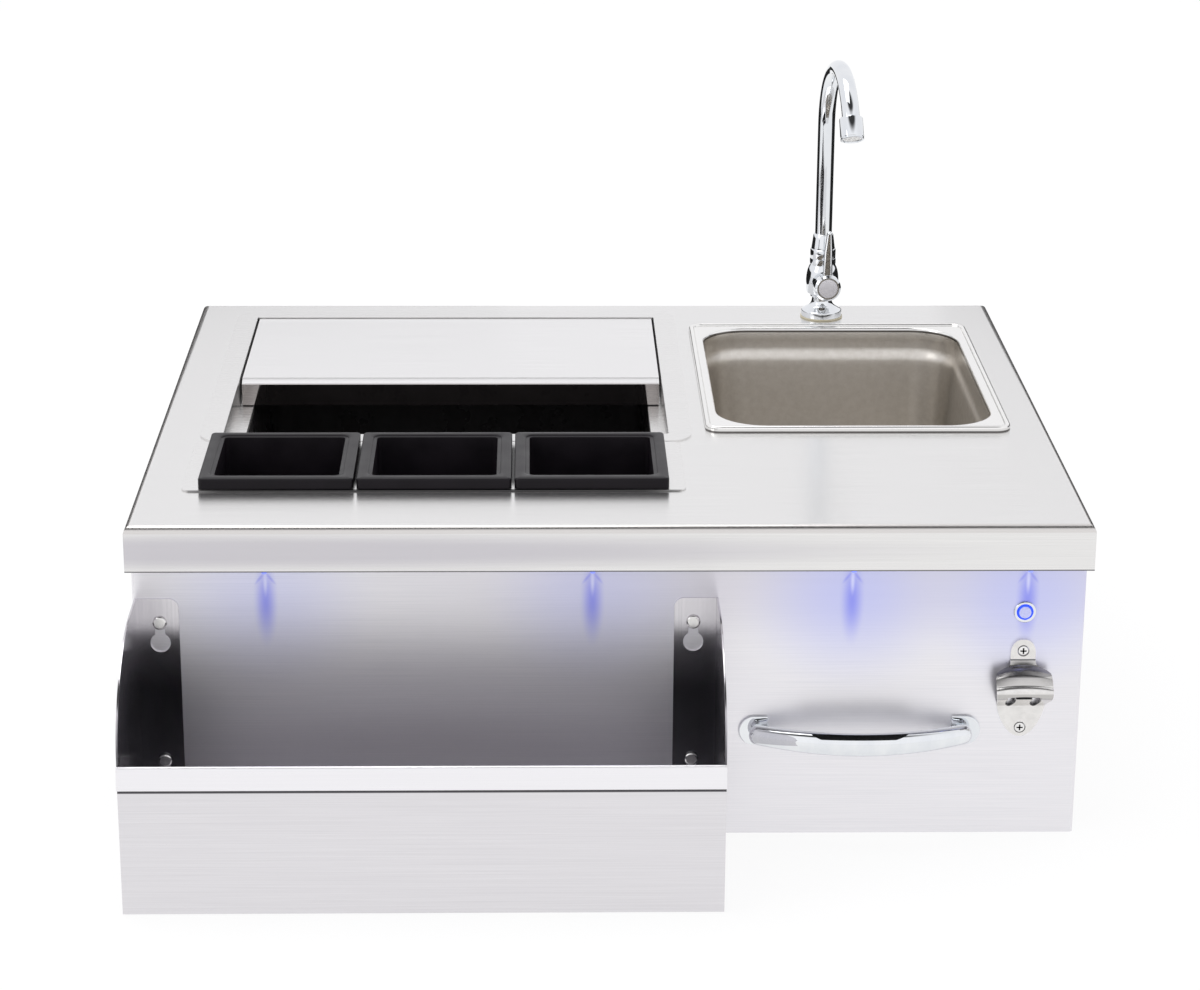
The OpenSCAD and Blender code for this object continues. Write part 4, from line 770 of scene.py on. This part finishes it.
finishPiece(firstTray, blackPlastic, "tray_left")
print("trays: done")

towelBar = {"length": 176, "out": 38.6, "flange": 3, "foot": 8, "endRound": 6, "endHeight": 8.2,
            "middleHeight": 9.5, "endThick": 7.5, "middleThick": 6.6, "rings": 44}
low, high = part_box("towel_bar")
barPlace = Vector(((low.x + high.x) / 2, high.y + towelBar["flange"] * mm, (low.z + high.z) / 2))


def barPoint(share):
    # along the bar, share runs from 0 to 1 and the bar bows out in a shallow arch
    reach = towelBar["out"] - towelBar["foot"] - towelBar["middleThick"]
    bow = reach * (1 - (2 * share - 1) ** 2)
    return Vector((towelBar["length"] * (share - 0.5), -towelBar["foot"] - bow, 0))


def barSection(share):
    # half the bar's thickness and half its height: full in the middle, and rounded off at both ends
    fromEnd = min(share, 1 - share) * towelBar["length"] + 0.6
    rounded = math.sqrt(1 - max(0, 1 - fromEnd / towelBar["endRound"]) ** 2)
    full = math.sin(math.pi * share)
    thick = towelBar["endThick"] + (towelBar["middleThick"] - towelBar["endThick"]) * full
    height = towelBar["endHeight"] + (towelBar["middleHeight"] - towelBar["endHeight"]) * full
    return thick * rounded, height * rounded


deselectAll()
bpy.ops.mesh.primitive_circle_add(vertices=40, radius=mm, fill_type="NGON", rotation=(math.pi / 2, 0, 0))
bar = bpy.context.object
bar.name = "bowedTowelBar"
setMode("EDIT")
bpy.ops.mesh.select_all(action="SELECT")
bpy.ops.transform.translate(value=barPlace + barPoint(0) * mm)
lastPoint, lastAngle, lastThick, lastHeight = barPoint(0), -90.0, 1, 1
for ring in range(towelBar["rings"] + 1):
    share = (1 - math.cos(math.pi * ring / towelBar["rings"])) / 2
    point = barPoint(share)
    ahead = barPoint(share + 0.002) - barPoint(share - 0.002)
    angle = math.degrees(math.atan2(ahead.y, ahead.x))
    thick, height = barSection(share)
    place = barPlace + point * mm
    if ring:
        bpy.ops.mesh.extrude_region_move(TRANSFORM_OT_translate={"value": (point - lastPoint) * mm})
    # the section is turned square to x, resized and turned along the bar
    bpy.ops.transform.rotate(value=math.radians(lastAngle + 90), orient_axis="Z", center_override=place)
    bpy.ops.transform.resize(value=(thick / lastThick, 1, height / lastHeight), center_override=place)
    bpy.ops.transform.rotate(value=-math.radians(angle + 90), orient_axis="Z", center_override=place)
    lastPoint, lastAngle, lastThick, lastHeight = point, angle, thick, height
setMode("OBJECT")
recalculate(bar)
smoothByAngle(bar, 50)
finishPiece(bar, chrome, "towel_bar")
print("towel bar: done")

# The bottle opener is one strip of steel, drawn over a hood: rows across it from the tab to the
# round end of its lower plate. Each row is height above the lower screw, half width, distance out
# from the panel, and how much lower its ends are.
opener = {"steel": 2.4, "pitch": 66, "slotAside": 9.9, "slotRadius": 3.5, "slotHeight": 23.4,
          "mouthTop": 33.4, "mouthSlit": 2.0, "screwHole": 4.75, "leastDroop": 0.02, "lowerScrew": 8,
          "cutDepth": 50, "screwCut": 14, "firstRadius": 2, "firstHeight": 1.73}
openerRows = [(opener["pitch"] + z, x, 1.25, 0)
              for x, z in ((2.5, 9.5), (5.2, 8.5), (7.6, 6.2), (9.2, 3.2), (10, -0.5), (10, -5))]
openerRows += [
    (59.6, 10.0, 1.25, 0), (58.9, 10.0, 1.5, 0), (57.9, 10.0, 2.2, 0), (56.2, 10.1, 3.5, 0.1),
    (54.7, 10.6, 4.8, 0.4), (53.9, 12.6, 5.8, 1.2), (53.2, 18.2, 7.4, 2.9), (52.4, 21.2, 9.6, 3.6),
    (51.2, 21.9, 11.3, 3.6), (49.4, 22.2, 13.6, 3.3), (48.8, 22.3, 14.3, 3.2), (48.2, 22.4, 14.8, 3.1),
    (45.4, 22.5, 16.8, 2.7), (42.6, 22.5, 18.6, 2.3), (42.0, 22.5, 19.0, 2.2), (41.4, 22.5, 19.9, 2.1),
    (40.6, 22.6, 20.9, 2.0), (39.3, 22.6, 21.7, 1.9), (37.6, 22.6, 21.9, 1.8), (35.6, 22.5, 21.5, 1.7),
    (33.8, 22.2, 20.3, 1.5), (32, 21.9, 18.4, 1.3), (29.8, 21.3, 15.4, 1.1), (27.4, 20.7, 11.9, 0.8),
    (25, 20.2, 8.4, 0.5), (22.6, 19.7, 5.1, 0.2), (20.6, 19.4, 2.8, 0), (18.8, 19.0, 1.6, 0),
    (16.6, 18.6, 1.25, 0), (12, 17.5, 1.25, 0), (7, 15.6, 1.25, 0), (2.5, 13.3, 1.25, 0),
    (-1, 11.0, 1.25, 0), (-4, 8.2, 1.25, 0), (-6, 5.6, 1.25, 0), (-7.4, 2.4, 1.25, 0)]
low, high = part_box("bottle_opener")
openerPlace = Vector(((low.x + high.x) / 2, high.y, low.z + opener["lowerScrew"] * mm))
# The first row is the top of a circle, 30 degrees to each side. It is flattened, and each row is then
# extruded from the one above it.
deselectAll()
bpy.ops.mesh.primitive_circle_add(vertices=96, radius=opener["firstRadius"] * mm, location=openerPlace,
                                  rotation=(math.pi / 2, 0, 0))
openerPiece = bpy.context.object
openerPiece.name = "bentBottleOpener"
bpy.ops.object.transform_apply(location=False, rotation=True)
setMode("EDIT")
bpy.ops.mesh.select_mode(type="VERT")
bpy.ops.mesh.select_all(action="DESELECT")
mesh = bmesh.from_edit_mesh(openerPiece.data)
for vertex in mesh.verts:
    vertex.select_set(vertex.co.z < opener["firstHeight"] * mm)
bmesh.update_edit_mesh(openerPiece.data)
bpy.ops.mesh.delete(type="VERT")
bpy.ops.mesh.select_mode(type="EDGE")
bpy.ops.mesh.select_all(action="SELECT")
lastHeight, lastHalf, lastOut, lastDroop = opener["firstRadius"], 1, 0, 2 - math.sqrt(3)
for rowNumber, (height, half, out, droop) in enumerate(openerRows):
    droop = max(droop, opener["leastDroop"])
    step = Vector((0, lastOut - out, height - lastHeight)) * mm
    if rowNumber:
        bpy.ops.mesh.extrude_region_move(TRANSFORM_OT_translate={"value": step})
    else:
        bpy.ops.transform.translate(value=step)
    bpy.ops.transform.resize(value=(half / lastHalf, 1, droop / lastDroop),
                             center_override=openerPlace + Vector((0, -out, height)) * mm)
    lastHeight, lastHalf, lastOut, lastDroop = height, half, out, droop
setMode("OBJECT")
recalculate(openerPiece)
if sum(face.normal.y for face in openerPiece.data.polygons) > 0:
    flipFaces(openerPiece)
addModifier(openerPiece, "SOLIDIFY", thickness=opener["steel"] * mm, offset=0)
applyModifiers(openerPiece)
for side in (-1, 1):
    slotPlace = openerPlace + Vector((side * opener["slotAside"], 0, opener["slotHeight"])) * mm
    slotTall = opener["mouthTop"] - opener["slotHeight"]
    unite(openerPiece,
          addCutter("cylinder", slotPlace, radius=opener["slotRadius"], depth=opener["cutDepth"]))
    unite(openerPiece, addCutter("block", slotPlace + Vector((0, 0, slotTall / 2 * mm)),
                                 size=(2 * opener["slotRadius"], opener["cutDepth"], slotTall)))
slitPlace = openerPlace + Vector((0, 0, opener["mouthTop"] - opener["mouthSlit"] / 2)) * mm
unite(openerPiece,
      addCutter("block", slitPlace, size=(2 * opener["slotAside"], opener["cutDepth"], opener["mouthSlit"])))
for height in (0, opener["pitch"]):
    screwPlace = openerPlace + Vector((0, 0, height * mm))
    unite(openerPiece,
          addCutter("cylinder", screwPlace, radius=opener["screwHole"], depth=opener["screwCut"]))
breakEdges(openerPiece, 0.35, 3, 32)
finishPiece(openerPiece, makeOpenerSteel(openerPlace, opener), "bottle_opener")

# A countersunk screw with a cross recess, turned and cut once, and copied.
screw = {"head": 4.2, "crown": 0.7, "crossLength": 5.0, "crossWidth": 1.15, "crossDepth": 3.0}
crownAngles = [math.radians(a) for a in (0, 25, 45, 62, 76, 85)]
screwPiece = turned("crossHeadScrews", [(4.2, -2.2)]
                    + [(screw["head"] * math.cos(a), screw["crown"] * math.sin(a)) for a in crownAngles])
crossPlace = Vector((0, 0, screw["crown"] * mm))
for size in ((screw["crossLength"], screw["crossWidth"], screw["crossDepth"]),
             (screw["crossWidth"], screw["crossLength"], screw["crossDepth"])):
    unite(screwPiece, addCutter("block", crossPlace, size=size))
screwPiece.data.transform(Matrix.Rotation(math.pi / 2, 4, "X"))
screwPiece.data.transform(Matrix.Translation(openerPlace + Vector((0, -opener["steel"] * mm, 0))))
upperScrew = copyMoved(screwPiece, "upperScrew", Vector((0, 0, opener["pitch"] * mm)))
activate(screwPiece)
upperScrew.select_set(True)
bpy.ops.object.join()
breakEdges(screwPiece, 0.12, 2, 40)
finishPiece(screwPiece, makeScrewSteel([openerPlace, openerPlace + Vector((0, 0, opener["pitch"] * mm))]),
            "opener_screws")
print("bottle opener: done")

# The faucet's turned pieces, with radii and heights above the countertop in mm. Its axis is that of
# its gasket, and the spout and the handle face a little to the right.
faucet = {"turn": 5, "boss": 20, "hub": 25, "handleHeight": 36, "tube": 16, "tubeWall": 1.2,
          "tubeBottom": 45.3, "tubeTop": 187, "bendRadius": 65, "bend": 150}
gasketMiddle = boxMiddle("faucet_gasket")
faucetPlace = (Matrix.Translation((gasketMiddle.x, gasketMiddle.y, counterTop))
               @ Matrix.Rotation(math.radians(faucet["turn"]), 4, "Z"))
bodyProfile = ([(19.3, 1.5), (19.3, 6.5), (19.0, 7.4), (18.2, 8.0), (17.2, 8.2)]
               + arc(17.5, 17.5, 8, -112, -176, 8)[1:]
               + [(9.3, 19.6), (9.9, 20.4), (11.2, 20.9), (11.2, 22.2), (12.6, 23.6)]
               + [(10.4 + 5.2 * math.cos(math.radians(a)),
                   35 + 17 * math.sin(math.radians(a))) for a in range(-38, 66, 8)]
               + [(12.3, 51.2), (12.0, 52.0), (12.4, 53.0), (12.4, 58)])
faucetBody = turned("turnedFaucetBody", bodyProfile, 96)
boss = addCutter("cylinder", (0, -faucet["boss"] / 2 * mm, faucet["handleHeight"] * mm),
                 radius=faucet["hub"] / 2 - 1, depth=faucet["boss"])
unite(faucetBody, boss, "UNION")
breakEdges(faucetBody, 0.25, 2, 38)
faucetBody.data.transform(faucetPlace)
finishPiece(faucetBody, chrome, "faucet_body")

spoutNut = turned("flaredSpoutNut",
                  [(11.9, 58), (12.1, 58.4), (12.1, 66.4), (11.8, 67.2), (11.2, 67.6), (11.2, 68.2)]
                  + [(11.2 - 1.6 * t, 68.2 + 11.8 * t) for t in (0.2, 0.5, 0.8)]
                  + [(9.4, 81), (9.0, 81.6), (8.4, 82)], 96)
smoothByAngle(spoutNut, 30)
spoutNut.data.transform(faucetPlace)
finishPiece(spoutNut, chrome, "spout_nut")

# The gooseneck: a ring is drawn up, then spun round the bend.
deselectAll()
bpy.ops.mesh.primitive_circle_add(vertices=64, radius=faucet["tube"] / 2 * mm)
tube = bpy.context.object
tube.name = "gooseneckTube"
setMode("EDIT")
bpy.ops.mesh.select_mode(type="EDGE")
bpy.ops.mesh.select_all(action="SELECT")
bpy.ops.transform.translate(value=(0, 0, faucet["tubeBottom"] * mm))
straight = (0, 0, (faucet["tubeTop"] - faucet["tubeBottom"]) * mm)
bpy.ops.mesh.extrude_region_move(TRANSFORM_OT_translate={"value": straight})
bpy.ops.mesh.spin(steps=60, angle=math.radians(faucet["bend"]),
                  center=(0, -faucet["bendRadius"] * mm, faucet["tubeTop"] * mm),
                  axis=(-1, 0, 0))
setMode("OBJECT")
recalculate(tube)
addModifier(tube, "SOLIDIFY", thickness=faucet["tubeWall"] * mm, offset=-1)
applyModifiers(tube)
smoothByAngle(tube, 40)
tube.data.transform(faucetPlace)
finishPiece(tube, chrome, "spout_tube")

aerator = turned("aeratorCup",
                 [(8.2, 0), (9.8, 0.15), (10.5, 0.7), (10.75, 1.5), (10.75, 18.8), (10.4, 19.2), (10.4, 19.8),
                  (10.75, 20.2), (10.6, 20.8), (10.0, 21), (8.9, 21), (8.7, 20.6), (8.7, 18.4)], 96)
bendEnd = math.radians(faucet["bend"])
tip = Matrix.Translation(Vector((0, -faucet["bendRadius"] * (1 - math.cos(bendEnd)),
                                 faucet["tubeTop"] + faucet["bendRadius"] * math.sin(bendEnd))) * mm)
smoothByAngle(aerator, 30)
aerator.data.transform(faucetPlace @ tip @ Matrix.Rotation(bendEnd, 4, "X"))
finishPiece(aerator, chrome, "aerator_housing")
print("faucet: done")

# The push button's bezel is turned with a dished face.
bezel = turned("pushButtonBezel",
               [(8, 22), (8, 0.05), (9.1, 0.05), (9.2, -0.5), (9.0, -1.3), (8.5, -1.9), (7.9, -2.2),
                (7.3, -2.1), (6.6, -1.6), (6.1, -1.2), (6.05, 3)], 72)
bezelPlace = boxMiddle("button_housing")
bezelPlace.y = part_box("front_panel")[0].y
bezel.data.transform(Matrix.Translation(bezelPlace) @ Matrix.Rotation(-math.pi / 2, 4, "X"))
recalculate(bezel)
smoothByAngle(bezel, 40)
finishPiece(bezel, chrome, "button_housing")
print("push button: done")

sheetMetal = {
    "countertop": (counterSteel, 0.5, 3), "front_panel": (panelSteel, 0.4, 2),
    "left_side_panel": (uprightSteel, 0.3, 2), "right_side_panel": (uprightSteel, 0.3, 2),
    "back_panel": (sheetSteel, 0.3, 2), "ice_bin_frame": (frameSteel, 0.35, 2),
    "tray_holder": (holderSteel, 0.35, 2), "lid_cover": (lidSteel, 0.4, 3),
    "rail_trough": (railSteel, 0.4, 3), "rail_end_left": (railEndSteel, 0.3, 2),
    "rail_end_right": (railEndSteel, 0.3, 2), "ice_bin_jacket": (galvanised, 0.2, 2)}
for node, (material, edgeMm, segments) in sheetMetal.items():
    dressed(node, material, edgeMm, segments)
print("sheet metal: done")

plainPieces = {
    "ice_bin_liner": (linerPlastic, 0.3), "ice_bin_insulation": (foam, 0.6),
    "ice_drain_fitting": (polishedSteel, 0.2), "ice_drain_gasket": (rubber, 0.3),
    "ice_drain_locknut": (whitePlastic, 0.5), "sink_clips": (galvanised, 0.2),
    "drain_flange": (polishedSteel, 0.2), "drain_gasket": (rubber, 0.3), "drain_locknut": (galvanised, 0.6),
    "drain_tailpiece": (chrome, 0.2), "drain_slip_nut": (chrome, 0.6), "drain_basket": (polishedSteel, 0.15),
    "faucet_gasket": (creamGasket, 0.3), "faucet_shank": (brass, 0.3),
    "faucet_washer": (galvanised, 0.2), "faucet_locknut": (brass, 0.6),
    "valve_cartridge": (whitePlastic, 0.2),
    "cartridge_nut": (chrome, 0.2), "spout_bush": (whitePlastic, 0.1),
    "aerator_screen": (polishedSteel, 0.1),
    "handle_lever": (chrome, 0.3), "valve_stem": (brass, 0.2), "handle_screw": (polishedSteel, 0.2),
    "index_button": (indexPlastic, 0.1), "button_light_ring": (ringLight, 0.1),
    "button_nut": (galvanised, 0.3), "button_cap": (capPlastic, 0.3), "led_holders": (chrome, 0.15),
    "led_lenses": (lensLight, 0.0), "towel_bar_flanges": (chrome, 1.3),
    "towel_bar_screws": (galvanised, 0.2),
    "rail_studs": (polishedSteel, 0.5), "rail_stud_nuts": (galvanised, 0.3),
    "lid_glides": (blackPlastic, 0.3)}
for node, (material, edgeMm) in plainPieces.items():
    dressed(node, material, edgeMm)
print("other pieces: done")
